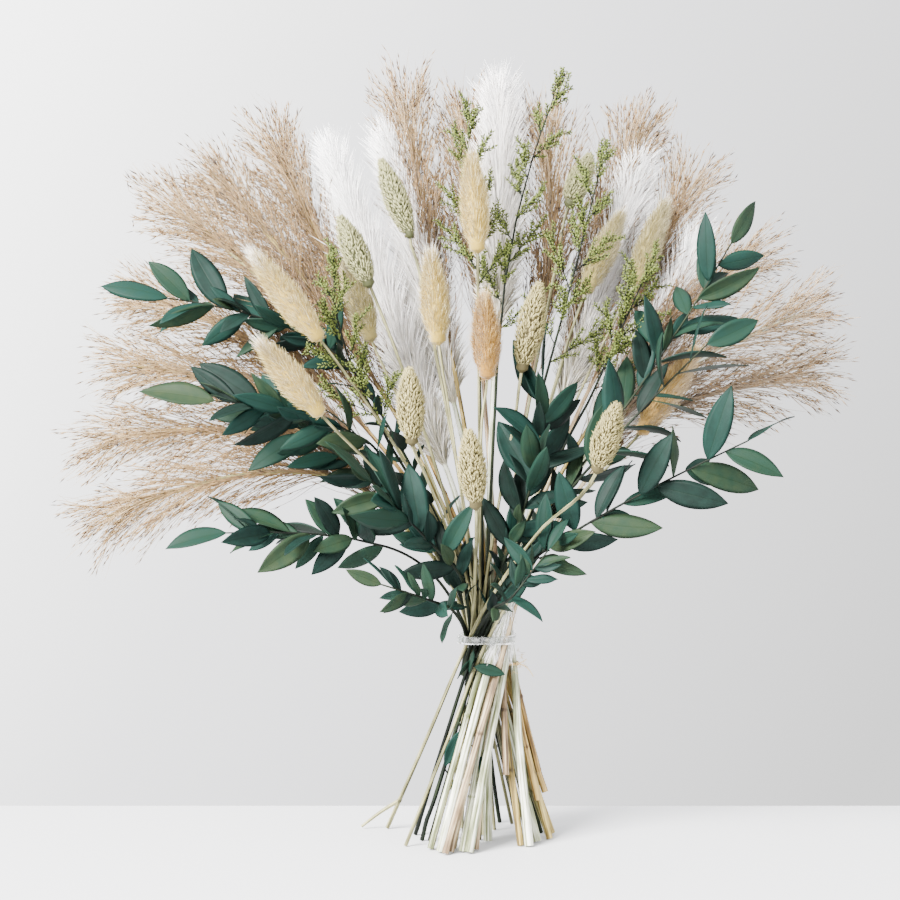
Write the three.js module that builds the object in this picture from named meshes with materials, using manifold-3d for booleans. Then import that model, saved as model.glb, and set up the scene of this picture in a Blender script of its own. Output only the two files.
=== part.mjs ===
// A hand-tied bouquet of dried grasses that stands on its cut stems.
// All sizes are in millimetres: x to the right, y to the back, z up from the floor.
// The origin is the middle of the cut end of the central stem.
import * as THREE from "three";
import { mergeVertices } from "three/addons/utils/BufferGeometryUtils.js";
import Module from "manifold-3d";

const wasm = await Module();
wasm.setup();

// ---- Driving dimensions -------------------------------------------------------------------------

const TIE_HEIGHT = 110; // middle of the band above the floor
const TIE_LEAN = 0.44; // the most that a stem leans at the band, sideways over up
const TURN_PER_MM = 0.038; // how much the lean grows per millimetre away from the central stem
const SIDE_SHARE = 0.84; // the feet spread less to the sides than to the front and back, by this share
const STEM_AIR = 0.3; // air between neighbouring stems
const HEAD_AIR = 0.5; // air between heads, leaves and branches of different plants
const LEVELS = [0, 55, 110, 125, 145, 170, 200, 230, 260, 290, 320, 350, 380, 410, 440, 470];
const TIE_LEVEL = LEVELS.indexOf(TIE_HEIGHT);
const STEEPEST_LEVELLED = 1.3; // a head that leans more than this is not levelled with the stems

const BAND = { height: 7, thickness: 0.9, air: 0.35, sides: 20 };
const RAFFIA = { height: 96, width: 2.4, thickness: 0.9, air: 0.35, sides: 12, room: 2.2 };

// Stem radii at the foot and under the head, and the clear radius that the head needs.
const SPECIES = {
  reed: { footRadius: 1.9, neckRadius: 1.0, girth: 3, colour: "#bfa896" },
  pampas: { footRadius: 2.4, neckRadius: 1.4, girth: 5.5, colour: "#efedea" },
  bunny: { footRadius: 1.0, neckRadius: 0.7, girth: 10.5, colour: "#e6d3a4" },
  canary: { footRadius: 1.1, neckRadius: 0.8, girth: 9, colour: "#d2cfa6" },
  lavender: { footRadius: 1.2, neckRadius: 0.8, girth: 1.5, colour: "#9fae58" },
  ruscus: { footRadius: 1.3, neckRadius: 0.8, girth: 1.5, colour: "#3b7263" },
};

// Each plant: where its head or leaves begin, where its tip is, and what sets it apart. foot is how far
// above the floor its stem is cut, lean is its own most lean at the band, and lowLeaves are the heights
// of leaves on the bare stem.
const PLANTS = [
  ["reed", "reed_plume_01", [-63, 30, 271], [-130, 60, 407], { foot: 22 }],
  ["reed", "reed_plume_02", [-74, 25, 268], [-171, 50, 385]],
  ["reed", "reed_plume_03", [-82, 15, 259], [-195, 40, 364]],
  ["reed", "reed_plume_04", [-90, 20, 248], [-215, 55, 307], { foot: 36 }],
  ["reed", "reed_plume_05", [-86, 8, 228], [-221, 30, 261]],
  ["reed", "reed_plume_06", [-85, 25, 212], [-243, 60, 214], { foot: 24 }],
  ["reed", "reed_plume_07", [-78, 5, 196], [-230, 20, 166]],
  ["reed", "reed_plume_08", [-27, 40, 302], [-50, 70, 433]],
  ["reed", "reed_plume_09", [-6, 45, 303], [-11, 80, 422], { foot: 38 }],
  ["reed", "reed_plume_10", [32, 35, 285], [27, 65, 419]],
  ["reed", "reed_plume_11", [58, 45, 297], [98, 80, 418]],
  ["reed", "reed_plume_12", [75, 40, 280], [124, 70, 383]],
  ["reed", "reed_plume_13", [76, 25, 254], [165, 60, 333]],
  ["reed", "reed_plume_14", [82, 10, 238], [200, 38, 297]],
  ["reed", "reed_plume_15", [79, 30, 223], [206, 60, 259]],
  ["pampas", "white_pampas_1", [-26, 20, 206], [-96, 45, 404]],
  ["pampas", "white_pampas_2", [-20, 32, 240], [-61, 62, 407]],
  ["pampas", "white_pampas_3", [5, 22, 280], [7, 50, 430]],
  ["pampas", "white_pampas_4", [40, 35, 240], [91, 62, 392]],
  ["pampas", "white_pampas_5", [56, 18, 212], [124, 55, 346]],
  ["bunny", "bunny_tail_1", [-87, -50, 270], [-120, -62, 311]],
  ["bunny", "bunny_tail_2", [-81, -70, 231], [-108, -82, 265]],
  ["bunny", "bunny_tail_3", [-64, -12, 272], [-77, -14, 313]],
  ["bunny", "bunny_tail_4", [-27, -38, 269], [-31, -42, 314]],
  ["bunny", "bunny_tail_5", [-6, -28, 318], [-9, -30, 367]],
  ["bunny", "bunny_tail_6", [1, -58, 250], [-3, -62, 290]],
  ["bunny", "bunny_tail_7", [58, 25, 301], [79, 35, 344]],
  ["bunny", "bunny_tail_8", [82, 30, 306], [100, 45, 352]],
  ["bunny", "bunny_tail_9", [81, -15, 222], [112, -15, 265], { lean: 0.58 }],
  ["canary", "canary_grass_1", [-63, -34, 299], [-78, -40, 334]],
  ["canary", "canary_grass_2", [-42, 8, 330], [-58, 12, 372]],
  ["canary", "canary_grass_3", [-41, -72, 216], [-43, -80, 253]],
  ["canary", "canary_grass_4", [-8, -84, 184], [-11, -94, 222]],
  ["canary", "canary_grass_5", [15, -50, 254], [25, -56, 298]],
  ["canary", "canary_grass_6", [54, -78, 202], [65, -88, 235], { lean: 0.72 }],
  ["canary", "canary_grass_7", [46, 28, 349], [58, 34, 378]],
  ["lavender", "sea_lavender_1", [6, -5, 266], [38, 5, 410]],
  ["lavender", "sea_lavender_2", [-5, -8, 293], [-11, 0, 392]],
  ["lavender", "sea_lavender_3", [30, -15, 249], [62, -5, 370]],
  ["lavender", "sea_lavender_4", [54, -20, 239], [84, -20, 305]],
  ["lavender", "sea_lavender_5", [-54, -30, 217], [-83, -30, 307]],
  ["ruscus", "ruscus_01", [-77, -5, 261], [-205, -20, 296]],
  ["ruscus", "ruscus_02", [-64, -35, 217], [-174, -60, 238], { foot: 88 }],
  ["ruscus", "ruscus_03", [-50, -10, 185], [-149, -30, 254], { foot: 84 }],
  ["ruscus", "ruscus_04", [-54, -40, 162], [-167, -70, 168], { lowLeaves: [60, 38] }],
  ["ruscus", "ruscus_05", [-30, -50, 135], [-74, -75, 150], { foot: 90 }],
  ["ruscus", "ruscus_06", [46, -25, 200], [144, -30, 351], { lowLeaves: [100, 91] }],
  ["ruscus", "ruscus_07", [40, -40, 190], [135, -60, 289], { foot: 86 }],
  ["ruscus", "ruscus_08", [28, -45, 160], [161, -70, 231]],
  ["ruscus", "ruscus_09", [10, -26, 160], [22, -38, 280], { foot: 84 }],
  ["ruscus", "ruscus_10", [14, -62, 141], [43, -72, 177], { foot: 90 }],
  ["ruscus", "ruscus_11", [-18, -34, 150], [-79, -72, 217], { foot: 87 }],
].map(([kind, name, neck, tip, { foot = 0, lean = TIE_LEAN, lowLeaves = [] } = {}], order) => ({
  kind,
  name,
  order,
  foot,
  lean,
  lowLeaves,
  neck: new THREE.Vector3(...neck),
  tip: new THREE.Vector3(...tip),
  ...SPECIES[kind],
}));
const CENTRAL = "white_pampas_3"; // the stem that the others are laid round
const RAFFIA_ROUND = ["white_pampas_2", "reed_plume_01", "reed_plume_02", "reed_plume_04"];

// ---- Small helpers ------------------------------------------------------------------------------

// Numbers from 0 to 1 that are the same in each run.
function seeded(seed) {
  let state = (seed * 7919 + 12345) >>> 0;
  return () => {
    state = (Math.imul(state, 1664525) + 1013904223) >>> 0;
    return state / 4294967296;
  };
}

const mix = THREE.MathUtils.lerp;
const vector = (x, y, z) => new THREE.Vector3(x, y, z);
const point = (a, b, share) => a.clone().lerp(b, share);

function solidFrom(position, index) {
  const vertProperties = new Float32Array(position.flatMap((p) => [p.x, p.y, p.z]));
  return new wasm.Manifold(
    new wasm.Mesh({ numProp: 3, vertProperties, triVerts: new Uint32Array(index) })
  );
}

function geometryFrom(solid) {
  const mesh = solid.getMesh();
  const geometry = new THREE.BufferGeometry();
  geometry.setAttribute("position", new THREE.BufferAttribute(mesh.vertProperties, 3));
  geometry.setIndex(new THREE.BufferAttribute(mesh.triVerts, 1));
  return mergeVertices(geometry, 1e-3);
}

// ---- Where every stem runs ----------------------------------------------------------------------

// The stems are laid in a spiral: each crosses the band beside the central stem and leans along the
// circle there, so a plant that heads one way has its foot on the other side.
function spiral(plant) {
  if (plant.name === CENTRAL) return { lean: new THREE.Vector2(), slot: new THREE.Vector2() };
  const rise = plant.neck.z - TIE_HEIGHT;
  const pitch = 1 / TURN_PER_MM;
  const { x, y } = plant.neck;
  const lean = new THREE.Vector2(rise * x - pitch * y, rise * y + pitch * x);
  lean.divideScalar(rise * rise + pitch * pitch);
  const size = lean.length();
  lean.multiplyScalar((plant.lean * Math.tanh(size / plant.lean)) / size);
  const slot = new THREE.Vector2(lean.y, -lean.x).divideScalar(TURN_PER_MM);
  lean.x *= SIDE_SHARE;
  return { lean, slot };
}

// The plant's drawn axis before its neighbours push it: a straight stem up to the band, then a curve
// to the neck, and for a head that is not too flat another one to the tip.
function drawnAxis(plant) {
  const { lean, slot } = spiral(plant);
  const rise = plant.neck.z - TIE_HEIGHT;
  const neck = new THREE.Vector2(plant.neck.x, plant.neck.y);
  const bend = neck.clone().sub(slot).addScaledVector(lean, -rise);
  plant.neckLean = lean.clone().addScaledVector(bend, 2 / rise);
  const headRise = plant.tip.z - plant.neck.z;
  const headRun = new THREE.Vector2(plant.tip.x, plant.tip.y).sub(neck);
  plant.levelled = headRun.length() < STEEPEST_LEVELLED * headRise;
  plant.top = plant.levelled ? plant.tip.z : plant.neck.z;
  const headBend = headRun.addScaledVector(plant.neckLean, -headRise);
  return (z) => {
    const up = z - TIE_HEIGHT;
    const at = slot.clone().addScaledVector(lean, Math.min(up, rise));
    if (up > 0) at.addScaledVector(bend, Math.min(1, up / rise) ** 2);
    if (z <= plant.neck.z) return at;
    if (!plant.levelled) return at.addScaledVector(plant.neckLean, z - plant.neck.z);
    const share = (z - plant.neck.z) / headRise;
    return at.addScaledVector(plant.neckLean, z - plant.neck.z).addScaledVector(headBend, share ** 2);
  };
}

const stemRadius = (plant, z) => mix(plant.footRadius, plant.neckRadius, Math.min(1, z / plant.neck.z));

// The widest that a plant gets between two levels.
function girthBetween(plant, low, high) {
  const stem = stemRadius(plant, low);
  const isHead = plant.levelled && high > plant.neck.z && low < plant.tip.z;
  return isHead ? Math.max(stem, plant.girth) : stem;
}

// Pushes the drawn axes apart until no two plants touch, and keeps each one a smooth curve.
function settle(plants) {
  const rounds = 500;
  const easing = 0.25; // how much of a kink in the push is smoothed away each round
  const recall = 0.004; // how much of the push is given back each round
  const squeeze = 0.012; // how much nearer to the middle the band pulls each stem in a round
  const quietRounds = 60; // the last rounds only push
  for (const plant of plants) {
    const axis = drawnAxis(plant);
    plant.levels = LEVELS.findIndex((z) => z >= plant.top);
    plant.drawn = LEVELS.slice(0, plant.levels + 1).map(axis);
    plant.push = plant.drawn.map(() => new THREE.Vector2());
  }
  const place = (plant, k) => plant.drawn[k].clone().add(plant.push[k]);
  for (let round = 0; round < rounds; round++) {
    const moves = plants.map((plant) => plant.push.map(() => new THREE.Vector2()));
    for (let k = 0; k + 1 < LEVELS.length; k++) {
      const step = LEVELS[k + 1] - LEVELS[k];
      const here = plants.filter((plant) => plant.levels > k);
      const low = here.map((plant) => place(plant, k));
      const high = here.map((plant) => place(plant, k + 1));
      for (let i = 0; i < here.length; i++)
        for (let j = i + 1; j < here.length; j++) {
          const from = low[j].clone().sub(low[i]);
          const change = high[j].clone().sub(high[i]).sub(from);
          const closest = THREE.MathUtils.clamp(-from.dot(change) / (change.lengthSq() + 1e-9), 0, 1);
          const apart = from.addScaledVector(change, closest);
          const leanI = low[i].distanceTo(high[i]) / step;
          const leanJ = low[j].distanceTo(high[j]) / step;
          const need = needed(here[i], leanI, k) + needed(here[j], leanJ, k) + airBetween(here[i], here[j], k);
          const gap = apart.length();
          if (gap >= need) continue;
          const shove = apart.multiplyScalar((0.35 * (need - gap)) / (gap + 1e-6));
          moves[here[i].order][k].addScaledVector(shove, -(1 - closest));
          moves[here[i].order][k + 1].addScaledVector(shove, -closest);
          moves[here[j].order][k].addScaledVector(shove, 1 - closest);
          moves[here[j].order][k + 1].addScaledVector(shove, closest);
        }
    }
    for (const plant of plants) {
      const { push } = plant;
      moves[plant.order].forEach((move, k) => push[k].add(move));
      if (round < rounds - quietRounds) {
        const eased = push.map((p, k) => {
          if (k === 0 || k === push.length - 1) return p.clone();
          return p.clone().lerp(push[k - 1].clone().add(push[k + 1]).multiplyScalar(0.5), easing);
        });
        eased.forEach((p, k) => push[k].copy(p).multiplyScalar(1 - recall));
        push[TIE_LEVEL].addScaledVector(place(plant, TIE_LEVEL), -squeeze);
      }
      if (plant.name === CENTRAL) for (let k = 0; k <= TIE_LEVEL; k++) push[k].set(0, 0);
    }
  }
}

const needed = (plant, lean, k) =>
  girthBetween(plant, LEVELS[k], LEVELS[k + 1]) * Math.sqrt(1 + Math.min(lean, 2) ** 2);

// The raffia needs room between the stems that it holds and the others.
function airBetween(a, b, k) {
  const nearRaffia = LEVELS[k] <= RAFFIA.height && LEVELS[k + 1] >= RAFFIA.height;
  const split = RAFFIA_ROUND.includes(a.name) !== RAFFIA_ROUND.includes(b.name);
  return nearRaffia && split ? RAFFIA.room : STEM_AIR;
}

// The settled axis as points: the stem from its foot to the neck, and the head from neck to tip.
function settledAxis(plant) {
  const at = (k) => {
    const p = plant.drawn[k].clone().add(plant.push[k]);
    return vector(p.x, p.y, LEVELS[k]);
  };
  const whole = plant.drawn.map((_, k) => at(k));
  const cut = (z) => {
    const k = Math.max(1, LEVELS.findIndex((level) => level >= z));
    return point(whole[k - 1], whole[k], (z - LEVELS[k - 1]) / (LEVELS[k] - LEVELS[k - 1]));
  };
  const neck = cut(plant.neck.z);
  const between = (low, high) => whole.filter((p) => p.z > low && p.z < high);
  const stem = [cut(plant.foot), ...between(plant.foot, plant.neck.z - 5), neck];
  if (!plant.levelled) {
    const straight = plant.tip.clone().sub(neck);
    const reach = straight.length();
    const way = vector(plant.neckLean.x, plant.neckLean.y, 1).normalize().lerp(straight.normalize(), 0.4);
    const bow = neck.clone().addScaledVector(way.normalize(), 0.36 * reach);
    return { stem, head: new THREE.QuadraticBezierCurve3(neck, bow, plant.tip) };
  }
  const isLong = plant.tip.z - plant.neck.z > 70;
  const bends = isLong ? between(plant.neck.z + 15, plant.tip.z - 15) : [];
  return { stem, head: new THREE.CatmullRomCurve3([neck, ...bends, cut(plant.tip.z)], false, "centripetal") };
}

// ---- Keeping clear of each other ----------------------------------------------------------------

// Everything that is built so far, as straight rods with a radius at each end.
const rods = [];

function rod(owner, part, a, b, radiusA, radiusB) {
  return { owner, part, a, b, radiusA, radiusB, middle: point(a, b, 0.5), half: a.distanceTo(b) / 2 };
}

function gapBetween(one, two) {
  const u = one.b.clone().sub(one.a);
  const v = two.b.clone().sub(two.a);
  const w = one.a.clone().sub(two.a);
  const [uu, uv, vv, uw, vw] = [u.dot(u), u.dot(v), v.dot(v), u.dot(w), v.dot(w)];
  const spread = uu * vv - uv * uv;
  const clamp = THREE.MathUtils.clamp;
  let s = spread > 1e-9 ? clamp((uv * vw - vv * uw) / spread, 0, 1) : 0;
  const t = clamp((uv * s + vw) / vv, 0, 1);
  s = clamp((uv * t - uw) / uu, 0, 1);
  const apart = w.addScaledVector(u, s).addScaledVector(v, -t).length();
  return apart - mix(one.radiusA, one.radiusB, s) - mix(two.radiusA, two.radiusB, t);
}

// The smallest gap from some new rods to what is there; a plant's rods may touch its own axis.
function clearance(fresh, touches = () => false) {
  let least = Infinity;
  for (const one of fresh)
    for (const two of rods) {
      if (touches(two)) continue;
      const bound = one.middle.distanceTo(two.middle) - one.half - two.half;
      if (bound - Math.max(two.radiusA, two.radiusB) - Math.max(one.radiusA, one.radiusB) > least) continue;
      least = Math.min(least, gapBetween(one, two));
    }
  return least;
}

// ---- Skins: closed surfaces round an axis, whose facets can be raised to points --------------------

// Rings along an axis, each with a frame that does not twist.
function ringsAlong(points, radii, ends = {}) {
  const rings = [];
  points.forEach((at, k) => {
    const before = points[Math.max(0, k - 1)];
    const after = points[Math.min(points.length - 1, k + 1)];
    const along = k === 0 && ends.start ? ends.start.clone() : after.clone().sub(before).normalize();
    let across;
    if (k === 0) {
      across = Math.abs(along.x) < 0.9 ? vector(1, 0, 0) : vector(0, 1, 0);
    } else {
      const turn = new THREE.Quaternion().setFromUnitVectors(rings[k - 1].along, along);
      across = rings[k - 1].across.clone().applyQuaternion(turn);
    }
    across.addScaledVector(along, -across.dot(along)).normalize();
    rings.push({ at, along, across, side: along.clone().cross(across), radius: radii[k] });
  });
  return rings;
}

// A closed surface over the rings that ends in a point at the tip. raise(row, column, facet) gives the
// point that a facet is raised to, or nothing for a flat facet. flat cuts the first ring level.
function skin(rings, sides, tip, { raise = () => null, flat = false, twist = 0 } = {}) {
  const position = [];
  const index = [];
  rings.forEach(({ at, along, across, side, radius }, k) => {
    for (let j = 0; j < sides; j++) {
      const angle = ((j + twist * k) / sides) * 2 * Math.PI;
      const p = at.clone().addScaledVector(across, radius * Math.cos(angle));
      p.addScaledVector(side, radius * Math.sin(angle));
      if (flat && k === 0) p.addScaledVector(along, (at.z - p.z) / along.z);
      position.push(p);
    }
  });
  const vertex = (k, j) => k * sides + (j % sides);
  for (let j = 1; j + 1 < sides; j++) index.push(0, j + 1, j);
  for (let k = 0; k + 1 < rings.length; k++)
    for (let j = 0; j < sides; j++) {
      const quad = [vertex(k, j), vertex(k, j + 1), vertex(k + 1, j + 1), vertex(k + 1, j)];
      const corners = quad.map((i) => position[i]);
      const centre = corners.reduce((sum, p) => sum.add(p), vector(0, 0, 0)).divideScalar(4);
      const peak = raise(k, j, centre, corners);
      if (!peak) {
        index.push(quad[0], quad[1], quad[3], quad[1], quad[2], quad[3]);
        continue;
      }
      position.push(peak);
      for (let i = 0; i < 4; i++) index.push(quad[i], quad[(i + 1) % 4], position.length - 1);
    }
  position.push(tip);
  for (let j = 0; j < sides; j++)
    index.push(vertex(rings.length - 1, j), vertex(rings.length - 1, j + 1), position.length - 1);
  return solidFrom(position, index);
}

// ---- Plants -------------------------------------------------------------------------------------

// Points at even steps along the head's axis, from the neck to a share of its length.
function headPoints(plant, rows, share = 1) {
  const list = [];
  for (let i = 0; i <= rows; i++) list.push(plant.axis.head.getPointAt((share * i) / rows));
  return list;
}

// The place and direction at a share of the way along a row of points.
function alongPoints(points, share) {
  const spot = Math.min(points.length - 1.001, share * (points.length - 1));
  const k = Math.floor(spot);
  const along = points[k + 1].clone().sub(points[k]).normalize();
  return { root: point(points[k], points[k + 1], spot - k), along };
}

function stemParts(plant) {
  const { stem } = plant.axis;
  const radii = stem.map((p) => stemRadius(plant, p.z));
  const start = stem[1].clone().sub(stem[0]).normalize();
  return { points: stem, radii, start };
}

function addRods(plant, part, points, radii) {
  for (let i = 0; i + 1 < points.length; i++)
    rods.push(rod(plant.name, part, points[i], points[i + 1], radii[i], radii[i + 1]));
}

// A plume: the stem runs on as a slim core whose facets are raised to long, pointed branches. They
// leave the core at an acute angle that closes towards the tip.
function plume(plant, look) {
  const random = seeded(plant.order);
  const stem = stemParts(plant);
  const head = headPoints(plant, look.rows, look.coreShare);
  const tip = head.pop();
  const coreRadius = (share) =>
    mix(plant.neckRadius, look.tipRadius, share) + look.coreSwell * Math.sin(Math.PI * share ** 0.8);
  const radii = head.map((_, i) => coreRadius(i / look.rows));
  const points = stem.points.concat(head.slice(1));
  const rings = ringsAlong(points, stem.radii.concat(radii.slice(1)), { start: stem.start });
  const firstRow = stem.points.length - 1;
  const siblings = [];
  const raise = (k, j, centre) => {
    if (k < firstRow) return null;
    const share = (k - firstRow + 0.5) / look.rows;
    const next = rings[k + 1].at;
    const along = next.clone().sub(rings[k].at).normalize();
    const middle = point(rings[k].at, next, 0.5);
    const out = centre.clone().sub(middle);
    out.addScaledVector(along, -out.dot(along)).normalize();
    const sway = THREE.MathUtils.degToRad(mix(look.openAngle, look.closeAngle, share));
    const way = along.clone().multiplyScalar(Math.cos(sway)).addScaledVector(out, Math.sin(sway));
    const swell = Math.sin(Math.PI * mix(look.swellFrom, look.swellTo, share));
    const full = look.length * swell * mix(0.75, 1.1, random());
    const owned = (two) => two.owner === plant.name;
    for (let size = full; size > 4; size *= 0.86) {
      const peak = centre.clone().addScaledVector(way, size);
      const fresh = rod(plant.name, "branch", centre, peak, look.branchGirth, 0.2);
      const outer = rod(plant.name, "branch", point(centre, peak, 0.2), peak, 0.6, 0.1);
      if (siblings.some((one) => gapBetween(one, outer) < 0)) continue;
      if (clearance([fresh], owned) < HEAD_AIR) continue;
      rods.push(fresh);
      siblings.push(outer);
      return peak;
    }
    return centre.clone().addScaledVector(out, 0.3);
  };
  return skin(rings, look.sides, tip, { raise, flat: true });
}

// A dense oval head of raised bristles or scales on a four-sided stem.
function denseHead(plant, look) {
  const random = seeded(plant.order);
  const stem = stemParts(plant);
  const head = headPoints(plant, look.rows);
  const tip = head.pop();
  const oval = (share) => Math.sin(Math.PI * Math.min(0.999, share) ** look.fullest) ** 0.7;
  const radii = head.map((_, i) => Math.max(0.5, look.radius * oval((i + 0.35) / (look.rows + 0.1))));
  const rings = ringsAlong(head, radii);
  // Each facet is raised over its own upper edge, so the points lie over each other like tiles.
  const raise = (k, j, centre, corners) => {
    const up = point(corners[2], corners[3], 0.5).sub(point(corners[0], corners[1], 0.5)).normalize();
    const over = corners[1].clone().sub(corners[0]);
    const out = over.cross(up).normalize();
    const peak = centre.clone().addScaledVector(out, look.stand * mix(0.8, 1.2, random()));
    return peak.addScaledVector(up, look.lift * mix(0.8, 1.2, random()));
  };
  const bloom = skin(rings, look.sides, tip, { raise, twist: look.twist });
  const sunk = stem.points.slice();
  const stemRings = ringsAlong(sunk, stem.radii, { start: stem.start });
  const inside = point(head[0], head[1], 0.6);
  return skin(stemRings, 4, inside, { flat: true }).add(bloom);
}

const LEAF = {
  length: 35,
  width: 15,
  thickness: 1.3,
  arch: 0.3,
  middle: 0.5,
  spacing: 10.5,
  shortStem: 85, // a leafy length under this has leaves that are smaller by the next share
  shortShare: 0.66,
  angle: 48,
  // how far along the leaf its edge points are, and how far out, as a share of its width
  outline: [
    [0.2, 0.34],
    [0.47, 0.5],
    [0.78, 0.32],
  ],
};

// A thin, arched, pointed oval leaf: an outline that is fanned to a middle point on either face.
// root is inside the stem; face is the side that looks up.
function leafSolid({ root, way, face, length, width }) {
  const side = way.clone().cross(face).normalize();
  const at = (t, across, up) => {
    const p = root.clone().addScaledVector(way, t * length).addScaledVector(side, across * width);
    return p.addScaledVector(face, up - LEAF.arch * length * (t - LEAF.middle) ** 2);
  };
  const right = LEAF.outline.map(([t, half]) => at(t, half, 0));
  const left = LEAF.outline.map(([t, half]) => at(t, -half, 0)).reverse();
  const rim = [root, ...right, at(1, 0, 0), ...left];
  const position = [...rim, at(LEAF.middle, 0, LEAF.thickness / 2), at(LEAF.middle, 0, -LEAF.thickness / 2)];
  const index = rim.flatMap((_, i) => {
    const next = (i + 1) % rim.length;
    return [i, next, rim.length, next, i, rim.length + 1];
  });
  return solidFrom(position, index);
}

// The rods that stand for a leaf: a few along it, side by side.
function leafRods(owner, { root, way, face, length, width }) {
  const side = way.clone().cross(face).normalize();
  const at = (t, across) => {
    const p = root.clone().addScaledVector(way, t * length).addScaledVector(side, across * width);
    return p.addScaledVector(face, -LEAF.arch * length * (t - LEAF.middle) ** 2);
  };
  const girth = 0.17 * width;
  return [
    rod(owner, "leaf", at(0.15, 0), at(0.6, 0), 1, girth),
    rod(owner, "leaf", at(0.6, 0), at(1, 0), girth, 0.6),
    rod(owner, "leaf", at(0.2, 0.3), at(0.75, 0.22), girth, girth),
    rod(owner, "leaf", at(0.2, -0.3), at(0.75, -0.22), girth, girth),
  ];
}


const TURNS = [0, 0.35, -0.35, 0.8, -0.8, 1.3, -1.3, 2.2, -2.2, 3.1];

// Finds room for a leaf at its root: it is turned about the stem, and then made smaller, until it is
// clear of everything that stands already.
function fitLeaf(plant, { root, along, size, hand, roll, tilt, angle }) {
  const front = vector(0.12 * Math.sign(along.x), -1, 0.45);
  front.addScaledVector(along, -front.dot(along)).normalize();
  const own = (two) => two.owner === plant.name && two.part !== "leaf";
  for (const share of [1, 0.82, 0.66])
    for (const turn of TURNS) {
      const face = front.clone().applyAxisAngle(along, roll + turn);
      const out = along.clone().cross(face).multiplyScalar(hand);
      const way = along.clone().multiplyScalar(Math.cos(angle)).addScaledVector(out, Math.sin(angle));
      face.addScaledVector(out, tilt);
      face.addScaledVector(way, -face.dot(way)).normalize();
      const leaf = { root, way, face, length: LEAF.length * size * share, width: LEAF.width * size * share };
      const fresh = leafRods(plant.name, leaf);
      if (clearance(fresh, own) < HEAD_AIR) continue;
      rods.push(...fresh);
      return leafSolid(leaf);
    }
  return null;
}

// A leafy stem: leaves stand left and right in turn, and one ends the stem. A few may also hang from
// the bare stem below the band.
function leafyStem(plant) {
  const random = seeded(plant.order);
  const stem = stemParts(plant);
  const reach = plant.axis.head.getLength();
  const small = reach < LEAF.shortStem ? LEAF.shortShare : 1;
  const bare = 1 - (0.85 * small * LEAF.length) / reach; // the last leaf reaches from here to the tip
  const head = headPoints(plant, Math.max(3, Math.round(reach / 28)), bare);
  const count = Math.max(4, Math.round((bare * reach) / (small * LEAF.spacing)));
  const radii = head.map((_, i) => mix(plant.neckRadius, 0.6, i / head.length));
  const points = stem.points.concat(head.slice(1, -1));
  const rings = ringsAlong(points, stem.radii.concat(radii.slice(1, -1)), { start: stem.start });
  const leaves = [];
  for (let i = 0; i <= count; i++) {
    const isLast = i === count;
    const { root, along } = alongPoints(head, isLast ? 0.96 : (0.94 * i) / count);
    const roll = mix(-0.8, 0.8, random());
    const size = small * mix(0.8, 1.12, random()) * (i < 2 ? 0.85 : 1);
    const tilt = mix(-0.35, 0.35, random());
    const angle = isLast ? 0 : THREE.MathUtils.degToRad(LEAF.angle);
    leaves.push(fitLeaf(plant, { root, along, size, hand: i % 2 ? 1 : -1, roll, tilt, angle }));
  }
  plant.lowLeaves.forEach((height, i) => {
    const k = stem.points.findIndex((p) => p.z > height);
    const [below, above] = [stem.points[k - 1], stem.points[k]];
    const root = point(below, above, (height - below.z) / (above.z - below.z));
    const along = below.clone().sub(above).normalize();
    leaves.push(fitLeaf(plant, { root, along, size: 0.8, hand: i % 2 ? 1 : -1, roll: 0, tilt: 0, angle: 0.6 }));
  });
  const bareStem = skin(rings, 4, head[head.length - 1], { flat: true });
  return leaves.filter(Boolean).reduce((solid, leaf) => solid.add(leaf), bareStem);
}

const TUFT = { count: 12, length: 25, bulge: 3.6, stalk: 0.6 };

// Sea lavender: a forked stem whose short branches end in tufts of bracts.
function tuftedStem(plant) {
  const random = seeded(plant.order);
  const stem = stemParts(plant);
  const head = headPoints(plant, 4);
  const tip = head.pop();
  const radii = head.map((_, i) => mix(plant.neckRadius, 0.6, i / 4));
  const points = stem.points.concat(head.slice(1));
  const rings = ringsAlong(points, stem.radii.concat(radii.slice(1)), { start: stem.start });
  let solid = skin(rings, 4, tip, { flat: true });
  const drawn = [...head, tip];
  for (let i = 0; i < TUFT.count; i++) {
    const share = mix(0.08, 0.96, i / (TUFT.count - 1));
    const { root, along } = alongPoints(drawn, share);
    const across = vector(along.z, 0, -along.x);
    across.addScaledVector(along, -across.dot(along)).normalize();
    const azimuth = i * 2.4 + mix(-0.3, 0.3, random());
    const lean = i === TUFT.count - 1 ? 0.05 : mix(0.75, 0.45, share);
    const full = TUFT.length * mix(1.1, 0.5, share) * mix(0.8, 1.2, random());
    const bulge = TUFT.bulge * mix(0.8, 1.15, random());
    const own = (two) => two.owner === plant.name && two.part !== "tuft";
    let best = null;
    for (const size of [1, 0.75, 0.55])
      for (const turn of [0, 0.5, -0.5, 1.1, -1.1, 2, -2, 3]) {
        if (best) break;
        const out = across.clone().applyAxisAngle(along, azimuth + turn);
        const way = along.clone().multiplyScalar(Math.cos(lean)).addScaledVector(out, Math.sin(lean));
        const end = root.clone().addScaledVector(way, full * size);
        const neck = point(root, end, 0.45);
        const fresh = [
          rod(plant.name, "tuft", point(root, end, 0.15), neck, TUFT.stalk, TUFT.stalk),
          rod(plant.name, "tuft", neck, end, TUFT.stalk + 0.4, bulge),
        ];
        if (clearance(fresh, own) >= HEAD_AIR) best = { end, fresh };
      }
    if (!best) continue;
    rods.push(...best.fresh);
    const spine = [0.02, 0.5, 0.78].map((s) => point(root, best.end, s));
    const girths = [0.1, TUFT.stalk, bulge];
    const crown = point(root, best.end, 1.1);
    solid = solid.add(skin(ringsAlong(spine, girths), 3, crown, { twist: 0.5 }));
  }
  return solid;
}

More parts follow.
